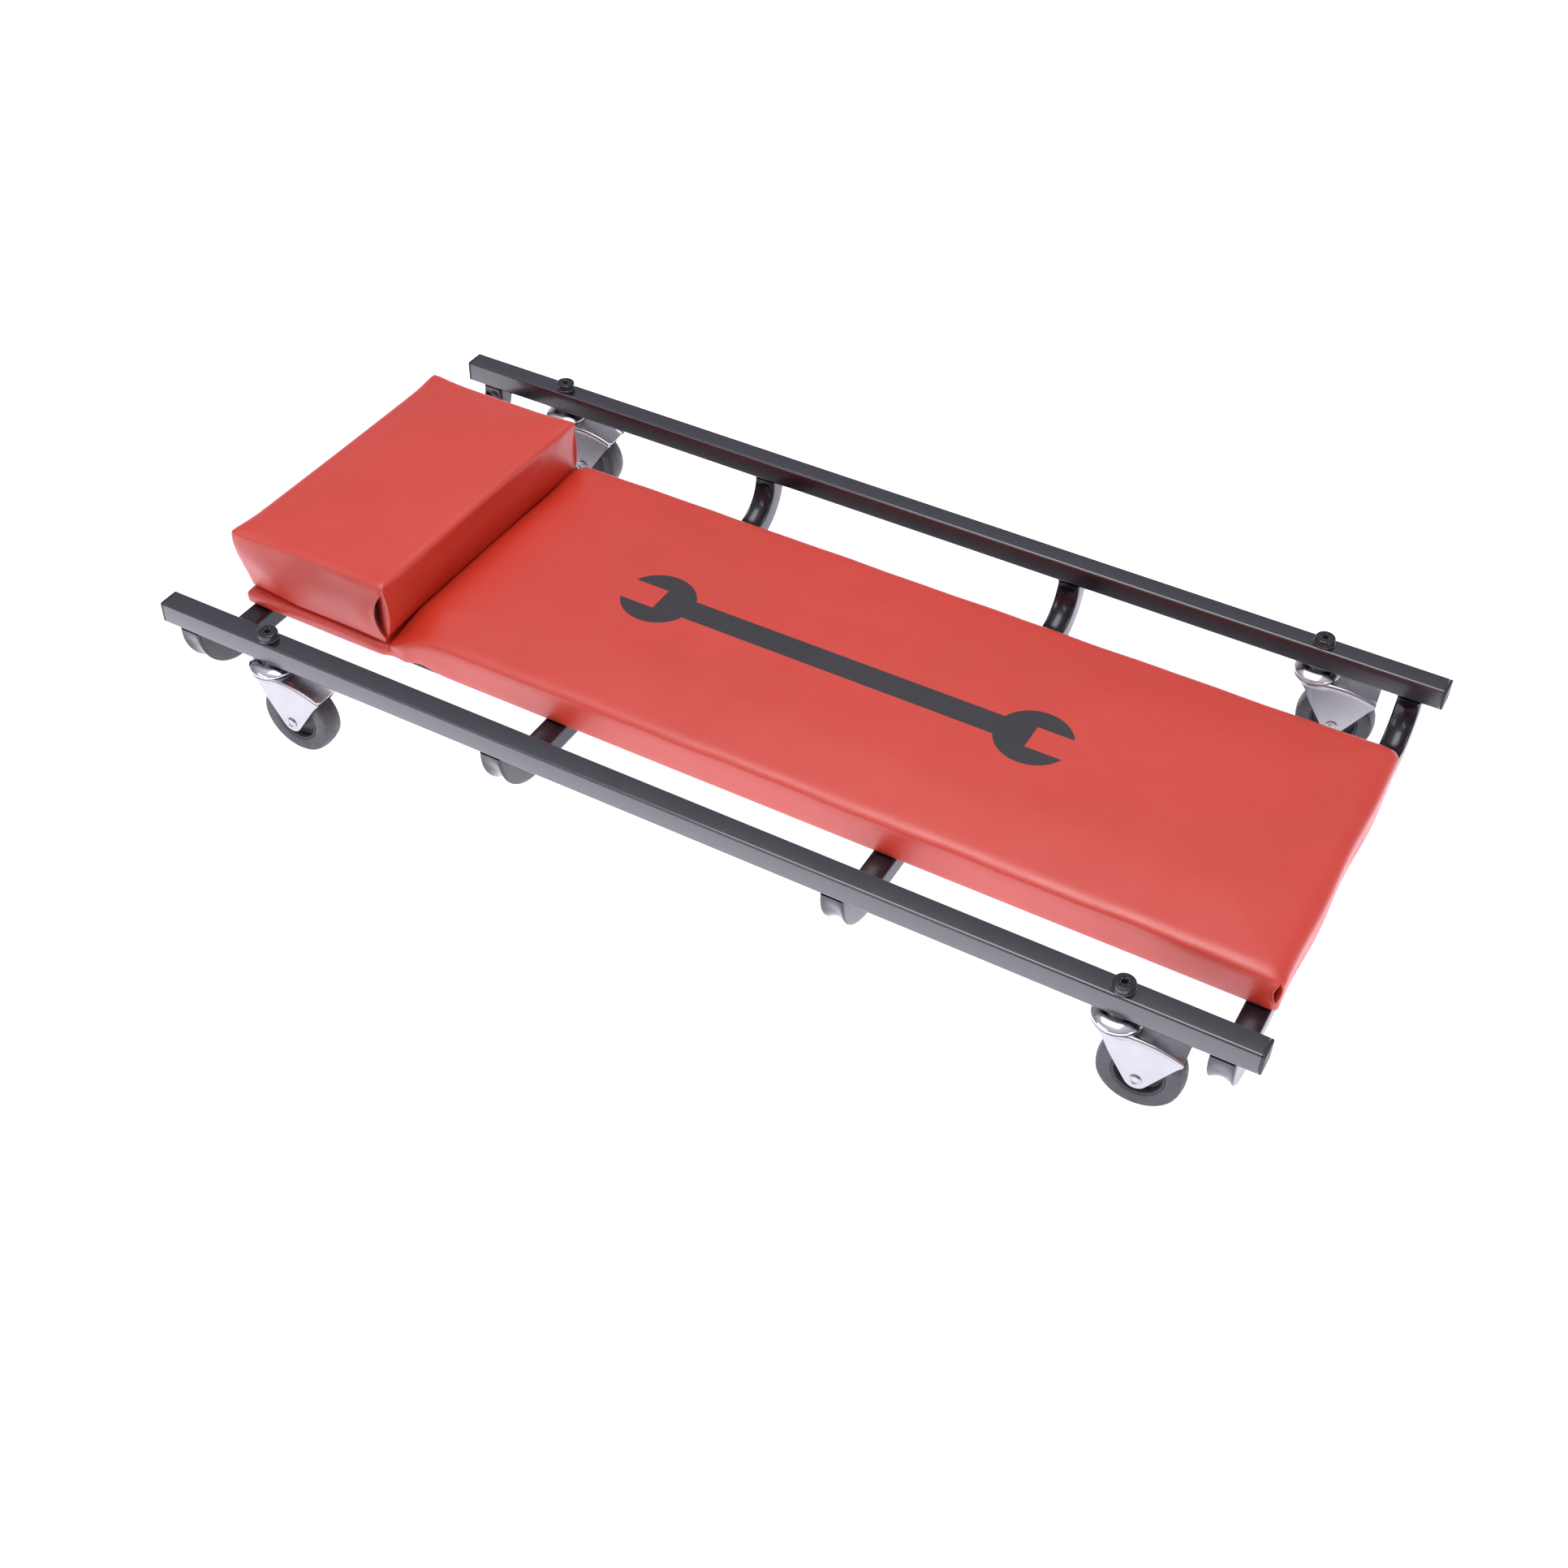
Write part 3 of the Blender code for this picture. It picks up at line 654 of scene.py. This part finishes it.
def raceway_shape():
    """The polished domed cup over the balls, with a rolled rim and a sunk middle."""
    top = RACEWAY_TOP
    rim = (17.3 * MM, top - 4.6 * MM)
    dome = (9.4 * MM, top - 13.0 * MM)
    outline = [(4.4 * MM, top - 1.2 * MM), (4.4 * MM, top), (9.3 * MM, top)]
    outline += arc(dome, 13.0 * MM, 84, 47, 8)
    outline += arc(rim, 1.45 * MM, 38, -150, 9)
    outline += arc(dome, 11.7 * MM, 56, 84, 6)
    raceway = turn("raceway", outline, 72)
    smooth(raceway, 50)
    return raceway


def bolt_shape():
    """A low round head with a hex socket, on its shank."""
    seat = RAIL_TOP + 2.0 * MM
    top = BOLT_TOP
    shank = 4.0 * MM
    head = 8.0 * MM
    edge = 1.3 * MM
    outline = [(0.0, seat - 1.5 * MM), (shank, seat - 1.5 * MM), (shank, seat)]
    outline += [(head - 0.5 * MM, seat), (head, seat + 0.5 * MM)]
    outline += arc((head - edge, top - edge), edge, 0, 82, 6)
    outline += [(4.1 * MM, top), (3.75 * MM, top - 0.35 * MM), (0.0, top - 0.35 * MM)]
    bolt = turn("stem_bolt", outline, 48)
    deselect_all()
    bpy.ops.mesh.primitive_cylinder_add(vertices=6, radius=2.9 * MM, depth=6 * MM, location=(0, 0, top))
    socket = added("socket")
    settle(socket)
    cut_out(bolt, socket)
    smooth(bolt, 32)
    return bolt


def ring_shape(name, inner, outer, low, high, edge):
    """A flat ring with softened edges."""
    outline = [(inner, low), (outer - edge, low), (outer, low + edge)]
    outline += [(outer, high - edge), (outer - edge, high), (inner, high)]
    ring = turn(name, outline, 48)
    smooth(ring, 40)
    return ring


def rivet_shape():
    """The axle rivet: a pressed head with a ring groove at each end."""
    inner = PLATE_HALF - 0.2 * MM
    head = 4.6 * MM
    half = [(0.0, inner + 0.75 * MM), (1.5 * MM, inner + 0.95 * MM), (2.3 * MM, inner + 0.45 * MM)]
    half += [(2.9 * MM, inner + 0.4 * MM), (3.5 * MM, inner + 1.0 * MM), (4.0 * MM, inner + 1.1 * MM)]
    half += [(head, inner + 0.6 * MM), (head, inner), (3.0 * MM, inner)]
    outline = half + [(radius, -height) for radius, height in half[::-1]]
    rivet = turn("axle_rivet", outline, 40, "Y", (TRAIL, 0, AXLE_Z))
    smooth(rivet, 45)
    return rivet


def hub_shape():
    """The dark core: a boss on the axle, a sunk web with ribs, and a rim under the tyre."""
    rim = TYRE_INNER - 0.3 * MM
    half = [(3.3 * MM, 11.4 * MM), (6.6 * MM, 11.4 * MM), (7.2 * MM, 10.9 * MM), (7.6 * MM, 4.2 * MM)]
    half += [(8.4 * MM, 3.4 * MM), (15.6 * MM, 3.2 * MM), (16.6 * MM, 4.0 * MM), (17.2 * MM, 8.4 * MM)]
    half += [(17.7 * MM, 8.9 * MM), (rim, 8.9 * MM)]
    outline = half + [(radius, -height) for radius, height in half[::-1]]
    hub = turn("wheel_hub", outline, 56, "Y", (TRAIL, 0, AXLE_Z))
    smooth(hub, 40)
    return hub


def tyre_shape():
    """Flat sides, a small step at the shoulder and a crowned tread."""
    crown = 26.0 * MM
    outline = [(TYRE_INNER, 8.6 * MM), (TYRE_INNER + 0.5 * MM, 9.2 * MM)]
    outline += [(TYRE_INNER + 1.1 * MM, WHEEL_HALF), (28.4 * MM, WHEEL_HALF)]
    outline += [(28.9 * MM, 9.35 * MM), (29.3 * MM, 8.95 * MM)]
    outline += arc((AXLE_Z - crown, 0.0), crown, 19.3, 0, 8)
    outline += [(radius, -height) for radius, height in outline[-2::-1]]
    tyre = turn("tyre", outline, 96, "Y", (TRAIL, 0, AXLE_Z))
    smooth(tyre, 30)
    return tyre


def place_copy(shape, spot, name):
    """A copy of a caster piece, with its own mesh, at one corner of the frame and at its rest angle."""
    stem = Vector(JOINTS[f"caster_swivel_{spot}"]["pos_m"])
    axle = Vector(JOINTS[f"wheel_spin_{spot}"]["pos_m"])
    angle = math.atan2(axle.y - stem.y, axle.x - stem.x)
    copy = shape.copy()
    copy.data = shape.data.copy()
    copy.name = name
    copy.data.name = name
    bpy.context.scene.collection.objects.link(copy)
    copy.data.transform(Matrix.Translation((stem.x, stem.y, 0)) @ Matrix.Rotation(angle, 4, "Z"))
    return copy


def casters(looks):
    """Makes each caster piece once and puts a copy of it at every corner."""
    bolt = bolt_shape()
    washer_low, washer_high = RAIL_TOP + 0.1 * MM, RAIL_TOP + 1.8 * MM
    washer = ring_shape("washer", STEM_HOLE, 8.5 * MM, washer_low, washer_high, 0.35 * MM)
    collar_low, collar_high = RACEWAY_TOP + 0.1 * MM, RAIL_TOP - TUBE - 0.1 * MM
    collar = ring_shape("collar", STEM_HOLE, 9.0 * MM, collar_low, collar_high, 0.3 * MM)
    pieces = (
        (bolt, "stem_bolt", "frame", "oxide", "bolt_black"),
        (washer, "bolt_washer", "frame", "oxide", "bolt_black"),
        (collar, "collar", "frame", "oxide", "bolt_black"),
        (raceway_shape(), "raceway", "frame", "polished", "polished_steel"),
        (fork_shape(), "fork", "swivel", "zinc", "bright_zinc"),
        (rivet_shape(), "axle_rivet", "swivel", "zinc", "bright_zinc"),
        (hub_shape(), "wheel_hub", "wheel", "core", "hub_black"),
        (tyre_shape(), "tyre", "wheel", "rubber", "tread_grey"),
    )
    for shape, kind, body, look, slot in pieces:
        for spot in SPOTS:
            copy = place_copy(shape, spot, f"{kind}_{spot}_fine")
            rides_on = body if body == "frame" else f"{body}_{spot}"
            finished(copy, rides_on, looks[look], slot, f"{kind}_{spot}")
        bpy.data.objects.remove(shape, do_unlink=True)


# The upholstery


def remesh(obj, size):
    """Rebuilds a shape as even voxels."""
    use(obj, "REMESH", mode="VOXEL", voxel_size=size, use_smooth_shade=True)


def relax(obj, factor, times):
    """Smooths the points towards their neighbours."""
    use(obj, "SMOOTH", factor=factor, iterations=times)


def puff(obj, cap, hold, pressure=4.0, frames=20):
    """Inflates a cover by cloth simulation. Every point stays within cap of where it started, and
    hold gives the share of its movement that it keeps, so that the foam's edges stay firm."""
    take(obj)
    mesh = obj.data
    count = len(mesh.vertices)
    rest = np.empty(count * 3)
    mesh.vertices.foreach_get("co", rest)
    rest = rest.reshape(-1, 3)
    cloth = obj.modifiers.new("cloth", "CLOTH")
    settings = cloth.settings
    settings.quality = 5
    settings.mass = 0.3
    settings.tension_stiffness = 15
    settings.compression_stiffness = 15
    settings.shear_stiffness = 5
    settings.bending_stiffness = 0.5
    settings.use_pressure = True
    settings.uniform_pressure_force = pressure
    settings.effector_weights.gravity = 0
    cloth.collision_settings.use_collision = False
    scene = bpy.context.scene
    cloth.point_cache.frame_start = 1
    cloth.point_cache.frame_end = frames
    for number in range(1, frames + 1):
        scene.frame_set(number)
    graph = bpy.context.evaluated_depsgraph_get()
    posed = obj.evaluated_get(graph).to_mesh()
    moved = np.empty(count * 3)
    posed.vertices.foreach_get("co", moved)
    moved = moved.reshape(-1, 3)
    obj.evaluated_get(graph).to_mesh_clear()
    step = moved - rest
    length = np.linalg.norm(step, axis=1, keepdims=True)
    step *= np.minimum(1, cap / np.maximum(length, 1e-9)) * hold(rest)[:, None]
    obj.modifiers.remove(cloth)
    scene.frame_set(1)
    mesh.vertices.foreach_set("co", (rest + step).ravel())
    mesh.update()


def refine_near(obj, corners, reach, cuts):
    """Subdivides the faces near these vertical corner lines, so that a fold has enough points."""
    edit(obj)
    choose(obj, lambda c, n: any(math.hypot(c.x - x, c.y - y) < reach for x, y in corners))
    bpy.ops.mesh.subdivide(number_cuts=cuts, quadcorner="INNERVERT")
    leave_edit()


def keep_edges(low, high):
    """A share for each point: 0 along the box's edges, 1 in the middle of its faces."""

    def share(points):
        near = np.minimum(points - np.array(low), np.array(high) - points)
        second = np.sort(near, axis=1)[:, 1]
        return 0.1 + 0.5 * fade(second, 3 * MM, 70 * MM)

    return share


def press_fold(obj, corner, low, high, flap, width, depth, lip, peak, close):
    """Presses an open fold into a vertical corner between two heights. It starts under a flap's edge, flap
    round the corner, drops to its depth and closes again towards the other side, with a raised lip along
    the edge. peak moves its widest place up or down, and close is the share of its width where it starts
    to close. The "fold" attribute keeps how deep each point lies, and the vinyl paints shade in by it."""
    mesh = obj.data
    points = np.empty(len(mesh.vertices) * 3)
    mesh.vertices.foreach_get("co", points)
    px, py, pz = points.reshape(-1, 3).T
    cx, cy = corner
    sx, sy = (1 if cx > PILLOW_LOW.x + MM else -1), (1 if cy > 0 else -1)
    corner_round = 4 * MM
    quarter = corner_round * math.pi / 4
    along = np.clip((pz - low) / (high - low), 0, 1)
    lens = np.sin(math.pi * along**peak) ** 0.8
    a = (px - cx) * sx + corner_round
    b = (py - cy) * sy + corner_round
    turned = (np.arctan2(b, a) - math.pi / 4) * corner_round
    place = np.where(a < 0, quarter - a, np.where(b < 0, b - quarter, turned))
    skin = np.where(a < 0, b, np.where(b < 0, a, np.hypot(a, b))) > corner_round - 5 * MM
    near = skin & (np.abs(place) < 30 * MM) & (pz > low) & (pz < high)
    share = (flap * lens - place) / np.maximum(width * lens, 0.3 * MM)
    dent = fade(share, 0.0, 0.14) * (1 - fade(share, close, 1.0)) * near * lens
    rise = np.exp(-(((share + 0.09) / 0.13) ** 2)) + 0.35 * np.exp(-(((share - 1.08) / 0.16) ** 2))
    move = (lip * rise * lens * near - depth * dent) / math.sqrt(2)
    points = np.stack([px + sx * move, py + sy * move, pz], axis=1)
    mesh.vertices.foreach_set("co", points.ravel())
    # The fold depth is kept for the vinyl's painted shade inside the fold
    kept = mesh.attributes.get("fold") or mesh.attributes.new("fold", "FLOAT", "POINT")
    before = np.empty(len(mesh.vertices))
    kept.data.foreach_get("value", before)
    kept.data.foreach_set("value", np.maximum(before, dent))
    mesh.update()


def head_pillow(material):
    """The foam block in its wrapped cover: crowned, edges soft, sides drawn in, corners folded."""
    low, high = PILLOW_LOW, PILLOW_HIGH
    inset = 0.2 * MM
    start_low = (low.x + inset, low.y + inset, low.z)
    start_high = (high.x - inset, high.y - inset, high.z - 0.8 * MM)
    pillow = cube("head_pillow_cover", start_low, start_high)
    bevel_edges(pillow, lambda c, n: abs(n.z) > 0.9, 2.5 * MM, 3)
    bevel_edges(pillow, lambda c, n: c.z > high.z - 5 * MM, 4 * MM, 4)
    remesh(pillow, 3 * MM)
    relax(pillow, 0.5, 1)
    puff(pillow, 6 * MM, keep_edges(start_low, start_high))
    middle_x = (low.x + high.x) / 2
    half_x, half_y = (high.x - low.x) / 2, high.y
    tall = high.z - low.z
    crown_rise, ear_rise = 1.2 * MM, 1.2 * MM
    side_dent, end_dent, near_facet = 1.6 * MM, 2.0 * MM, 5 * MM

    def drape(px, py, pz):
        """Crown on top, sides drawn in below, and shallow dents between the corners."""
        u, v = (px - middle_x) / half_x, py / half_y
        level = np.clip((pz - low.z) / tall, 0, 1)
        crown = crown_rise * (1 - u**2) * (1 - v**2) * fade(level, 0.6, 1)
        pull = 0.03 * (1 - level) ** 1.5
        qx = middle_x + (px - middle_x) * (1 - pull)
        qy = py * (1 - 0.7 * pull)
        side = fade(np.abs(v), 0.9, 0.99)
        end = fade(np.abs(u), 0.84, 0.97)
        dent_side = side_dent * side * np.sin(math.pi * level) * np.cos(math.pi * 0.95 * u)
        dent_end = end_dent * end * np.sin(math.pi * level) * np.cos(math.pi * 0.8 * v)
        bulge = 1.0 * MM * side * np.sin(2 * math.pi * level) * u
        qy = qy - np.sign(py) * (dent_side - bulge)
        qx = qx - np.sign(u) * dent_end
        from_corner = (half_x * (1 - np.abs(u))) ** 2 + (half_y * (1 - np.abs(v))) ** 2 + (high.z - pz) ** 2
        ear = ear_rise * np.exp(-from_corner / (17 * MM) ** 2)
        facet = np.clip(1.15 - (px - low.x) / (48 * MM) - level / 0.72, 0, 1) * side
        qx = qx + np.sign(u) * ear
        qy = qy + np.sign(v) * (ear - near_facet * facet)
        foot_limit = high.x - 6 * MM * (1 - fade(pz, 66 * MM, 76 * MM))
        return np.minimum(qx, foot_limit), qy, np.maximum(pz + crown + 0.8 * ear, low.z)

    reshape(pillow, drape)
    use(pillow, "SUBSURF", levels=1, render_levels=1)
    corners = [(high.x, low.y), (high.x, high.y), (low.x, low.y), (low.x, high.y)]
    refine_near(pillow, corners[:2], 21 * MM, 3)
    refine_near(pillow, corners[2:], 9 * MM, 1)
    # The corner, the gaps below and above, then press_fold's flap, width, depth, lip, peak and close
    folds = (
        (corners[0], 0.5 * MM, 9 * MM, 10.0 * MM, 14.5 * MM, 10.0 * MM, 1.5 * MM, 1.25, 0.12),
        (corners[1], 1.0 * MM, 4 * MM, -0.6 * MM, 5.0 * MM, 6.0 * MM, 1.6 * MM, 1.0, 0.25),
        (corners[2], 1.0 * MM, 12 * MM, -1.0 * MM, 3.0 * MM, 3.0 * MM, 0.6 * MM, 1.0, 0.4),
        (corners[3], 1.0 * MM, 12 * MM, -1.0 * MM, 3.0 * MM, 3.0 * MM, 0.6 * MM, 1.0, 0.4),
    )
    for corner, up, down, *fold in folds:
        press_fold(pillow, corner, low.z + up, high.z - down, *fold)
    relax(pillow, 0.3, 1)
    take(pillow)
    bpy.ops.object.shade_smooth()
    return finished(pillow, "frame", material, "red_vinyl", "head_pillow")


def bed_pad(material):
    """The bed: raised foam under its cover, a thin shelf under the pillow, and a fold where they meet."""
    low, high = PAD_LOW, PAD_HIGH
    step_x = PILLOW_HIGH.x
    shelf_z = PILLOW_LOW.z - 0.3 * MM
    inset = 0.5 * MM
    crown_rise = 1.0 * MM
    end_droop, droop_reach = 2.2 * MM, 20 * MM
    bed_low = (step_x - 4 * MM, low.y + inset, low.z)
    bed_high = (high.x - inset, high.y - inset, high.z - inset)
    bed = cube("bed_pad_cover", bed_low, bed_high)
    bevel_edges(bed, lambda c, n: abs(n.z) > 0.9, 3.5 * MM, 3)
    bevel_edges(bed, lambda c, n: c.z > high.z - 5 * MM and c.x > step_x + MM, 6 * MM, 5)
    shelf_low = (low.x + inset, low.y + inset, low.z)
    shelf_high = (step_x + 30 * MM, high.y - inset, shelf_z)
    shelf = cube("shelf", shelf_low, shelf_high)
    bevel_edges(shelf, lambda c, n: abs(n.z) > 0.9, 3.5 * MM, 3)
    bevel_edges(shelf, lambda c, n: abs(c.y) > high.y - 2 * MM and abs(n.x) > 0.9, 4 * MM, 4)
    take(bed)
    shelf.select_set(True)
    bpy.ops.object.join()
    remesh(bed, 5 * MM)
    relax(bed, 0.5, 1)
    puff(bed, 5 * MM, keep_edges(bed_low, bed_high))

    def settle_in(px, py, pz):
        """Keeps the underside flat, crowns the top, and lets the cover dip where it meets the pillow."""
        v = py / high.y
        past = px - step_x
        sunk = px > step_x - 9 * MM
        side = fade(np.abs(v), 0.94, 0.99)
        level = np.clip((pz - low.z) / (high.z - low.z), 0, 1)
        # The top: a slight crown, and a droop over the last of the foot end
        top = fade(pz, 66 * MM, 80 * MM)
        from_end = np.clip((px - high.x + droop_reach) / droop_reach, 0, 1)
        crown = crown_rise * (1 - v**2) * top - end_droop * from_end**2 * top
        # The dip behind the pillow, longest at the near side
        behind = np.maximum(px - (step_x - 2 * MM), 0)
        near, far = fade(-py, 88 * MM, 134 * MM), fade(py, 88 * MM, 134 * MM)
        depth = 12 * MM + 8 * MM * near - 3 * MM * far
        reach = 13 * MM + 11 * MM * near - 4 * MM * far
        dip = depth * np.exp(-((behind / reach) ** 1.6))
        share = np.clip((pz - 56 * MM) / (28 * MM), 0, 1)
        qz = np.where(pz < low.z + 5 * MM, low.z, pz) + crown - dip * share * sunk
        # The long sides: drawn in below, lightly waved, and bunched where the bed meets the shelf
        tuck = 3.2 * MM * (1 - level) ** 1.3 * side * sunk
        wave = 0.45 * MM * side * (np.sin(px * 41) + 0.6 * np.sin(px * 97 + 1)) * level
        fold = side * (1 - level) * (3.4 * MM * np.exp(-(((past - 14 * MM) / (7 * MM)) ** 2)))
        rounded = np.sin(math.pi * np.clip(level * 2.6, 0, 1))
        roll = 1.6 * MM * side * (1 - fade(past, -10 * MM, 6 * MM)) * rounded
        hem = 4.2 * MM * np.exp(-(((past - 24 * MM) / (14 * MM)) ** 2)) * side * (1 - fade(level, 0, 0.5))
        qy = py - np.sign(py) * (tuck + wave - fold - roll)
        # The foot end: slow waves across it
        foot = fade(px, high.x - 8 * MM, high.x - 1 * MM)
        ripples = 1.0 * MM * np.sin(py * 52 + 0.9) * (1 - 0.5 * level)
        sag = foot * (1.2 * MM * (1 - level) ** 1.2 - 0.9 * MM + ripples)
        return px - sag, qy, qz + hem

    reshape(bed, settle_in)
    use(bed, "SUBSURF", levels=1, render_levels=1)
    corners = [(high.x, low.y), (high.x, high.y)]
    refine_near(bed, corners, 16 * MM, 3)
    span = (low.z + 0.5 * MM, high.z - 3 * MM)
    for corner, width in zip(corners, (9 * MM, 3.5 * MM)):
        press_fold(bed, corner, *span, 0.65 * width, width, 10 * MM, 1.3 * MM, 1.4, 0.8)
    relax(bed, 0.3, 1)
    take(bed)
    bpy.ops.object.shade_smooth()
    return finished(bed, "frame", material, "red_vinyl", "bed_pad")


def bed_board(material):
    """The board under the bed, its corners rounded."""
    board = cube("bed_board_panel", BOARD_LOW, BOARD_HIGH)
    bevel_edges(board, lambda c, n: abs(n.z) > 0.9, 6 * MM, 5)
    bevel_edges(board, lambda c, n: c.z < BOARD_LOW.z + MM, 1.0 * MM, 2)
    smooth(board, 40)
    return finished(board, "frame", material, "board_dark", "bed_board")


def board_screw(number, material):
    """A pan head with a cross recess, seen from below."""
    node = f"board_screw_{number}"
    low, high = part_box(node)
    x, y = (low.x + high.x) / 2, (low.y + high.y) / 2
    head, tall = 4.0 * MM, 2.6 * MM
    seat = low.z + tall
    outline = [(0.0, seat - tall)] + arc((2.2 * MM, seat - tall + 1.8 * MM), 1.8 * MM, -90, 0, 6)
    outline += [(head, seat), (2.0 * MM, seat), (2.0 * MM, seat + 6 * MM), (0.0, seat + 6 * MM)]
    screw = turn(f"{node}_fine", outline, 28)
    for turned in (0, 90):
        deselect_all()
        bpy.ops.mesh.primitive_cube_add(size=1, location=(0, 0, low.z))
        tool = added("recess")
        tool.scale = (4.6 * MM, 0.9 * MM, 2.4 * MM)
        tool.rotation_euler.z = math.radians(turned)
        settle(tool)
        cut_out(screw, tool)
    screw.location = (x, y, 0)
    smooth(screw, 35)
    return finished(screw, "frame", material, "bolt_black", node)


# The studio


def floor_paper():
    """White paper that glows: a painted glow brightest in front, and a painted shadow under the bed, where
    the glow is dimmed.
    """
    material, tree, shader, place = blank("floor_white")
    shader.inputs["Base Color"].default_value = (0.85, 0.85, 0.87, 1)
    shader.inputs["Roughness"].default_value = 0.7
    split = put(tree, "ShaderNodeSeparateXYZ", {"Vector": place})
    x, y = split.outputs["X"], split.outputs["Y"]
    # Painted glow: the floor's emission is strongest in front of the bed
    front = between(tree, y, 1.22, 1.04, -0.34, -0.2)
    # Painted shadow: a soft-edged box under the bed where the emission is dimmed
    across = sums(tree, "ABSOLUTE", sums(tree, "SUBTRACT", y, 0.06))
    under_y = between(tree, across, 1, 0, 0.09, 0.14)
    under_x = between(tree, sums(tree, "ABSOLUTE", sums(tree, "ADD", x, 0.02)), 1, 0, 0.37, 0.44)
    painted_shadow = sums(tree, "MULTIPLY", sums(tree, "MULTIPLY", under_x, under_y), 0.85)
    tree.links.new(sums(tree, "SUBTRACT", front, painted_shadow), shader.inputs["Emission Strength"])
    shader.inputs["Emission Color"].default_value = (1.0, 0.97, 1.1, 1)
    return material


def studio():
    """A pale floor with a painted glow and a painted shadow, soft boxes above and in front, and the camera.
    """
    deselect_all()
    bpy.ops.mesh.primitive_plane_add(size=14, location=(0, 0, -0.0002))
    floor = added("floor")
    floor.data.materials.append(floor_paper())
    world = bpy.data.worlds.new("studio")
    world.use_nodes = True
    tree = world.node_tree
    direction = put(tree, "ShaderNodeTexCoord").outputs["Generated"]
    sky = put(tree, "ShaderNodeSeparateXYZ", {"Vector": direction})
    above = between(tree, sky.outputs["Z"], 0.33, 0.9, 0.45, 1.0)
    shine = sums(tree, "ADD", above, between(tree, sky.outputs["Z"], 0.6, 0.0, 0.07, 0.3))
    tree.links.new(shine, tree.nodes["Background"].inputs["Strength"])
    tree.nodes["Background"].inputs["Color"].default_value = (0.96, 0.93, 1.08, 1)
    bpy.context.scene.world = world
    boxes = (
        ("top", (0.0, -0.1, 1.9), (0.0, 0.0, 0.05), (1.4, 1.2), 25),
        ("strip", (-0.9, -1.7, 1.5), (0.0, 0.0, 0.05), (1.6, 0.22), 7),
        ("right", (2.4, -0.9, 0.9), (0.2, 0.0, 0.05), (0.5, 0.5), 5),
    )
    for name, place, aim, size, watts in boxes:
        light = bpy.data.lights.new(name, "AREA")
        light.shape = "RECTANGLE"
        light.size, light.size_y = size
        light.energy = watts
        lamp = bpy.data.objects.new(name, light)
        lamp.location = place
        lamp.rotation_euler = (Vector(aim) - Vector(place)).to_track_quat("-Z", "Y").to_euler()
        bpy.context.scene.collection.objects.link(lamp)
    camera = bpy.data.cameras.new("camera")
    camera.sensor_width = 36
    camera.lens = 47.30
    stand = bpy.data.objects.new("camera", camera)
    viewpoint = (0.576375, -1.109959, 1.11412)
    right = Vector((0.87351302, 0.48625302, 0.02308696))
    up = Vector((-0.347003, 0.588699, 0.730084))
    back = right.cross(up)
    turned = Matrix((right, up, back)).transposed().to_4x4()
    stand.matrix_world = Matrix.Translation(viewpoint) @ turned
    bpy.context.scene.collection.objects.link(stand)
    bpy.context.scene.camera = stand
    bpy.context.scene.view_settings.view_transform = "Standard"


def main():
    """Makes every piece, gives the CAD nodes that still show their finish, and sets up the studio."""
    looks = {
        "paint": powder_coat("powder_coat_rails", 1.0),
        "bent": powder_coat("powder_coat_bends", 0.2),
        "cap": moulded_black("cap_plastic", (0.016, 0.016, 0.018), 0.42),
        "oxide": black_oxide(),
        "polished": plated("polished_plate", (0.66, 0.66, 0.68), 0.12, 0.18, 0.000001, 0.00002),
        "zinc": plated("zinc_plate", (0.41, 0.41, 0.42), 0.26, 0.33, 0.000002, 0.00002),
        "core": moulded_black("hub_plastic", (0.03, 0.03, 0.034), 0.48),
        "rubber": hard_rubber(),
        "board": dark_board(),
        "vinyl": red_vinyl("vinyl_plain", False),
        "printed": red_vinyl("vinyl_printed", True),
    }
    side_rail("left_rail", looks["paint"])
    side_rail("right_rail", looks["paint"])
    for spot in SPOTS:
        rail_cap(spot, looks["cap"])
    for number in range(1, 5):
        cross_member(number, looks["bent"])
        for end in (-1, 1):
            for side in (-1, 1):
                weld(number, end, side, looks["bent"])
    casters(looks)
    bed_board(looks["board"])
    bed_pad(looks["printed"])
    head_pillow(looks["vinyl"])
    for number in range(1, 7):
        board_screw(number, looks["oxide"])
    for name, node in frame["nodes"].items():
        if not node.hide_render:
            node.data.materials.clear()
            node.data.materials.append(looks["zinc"])
    studio()


main()
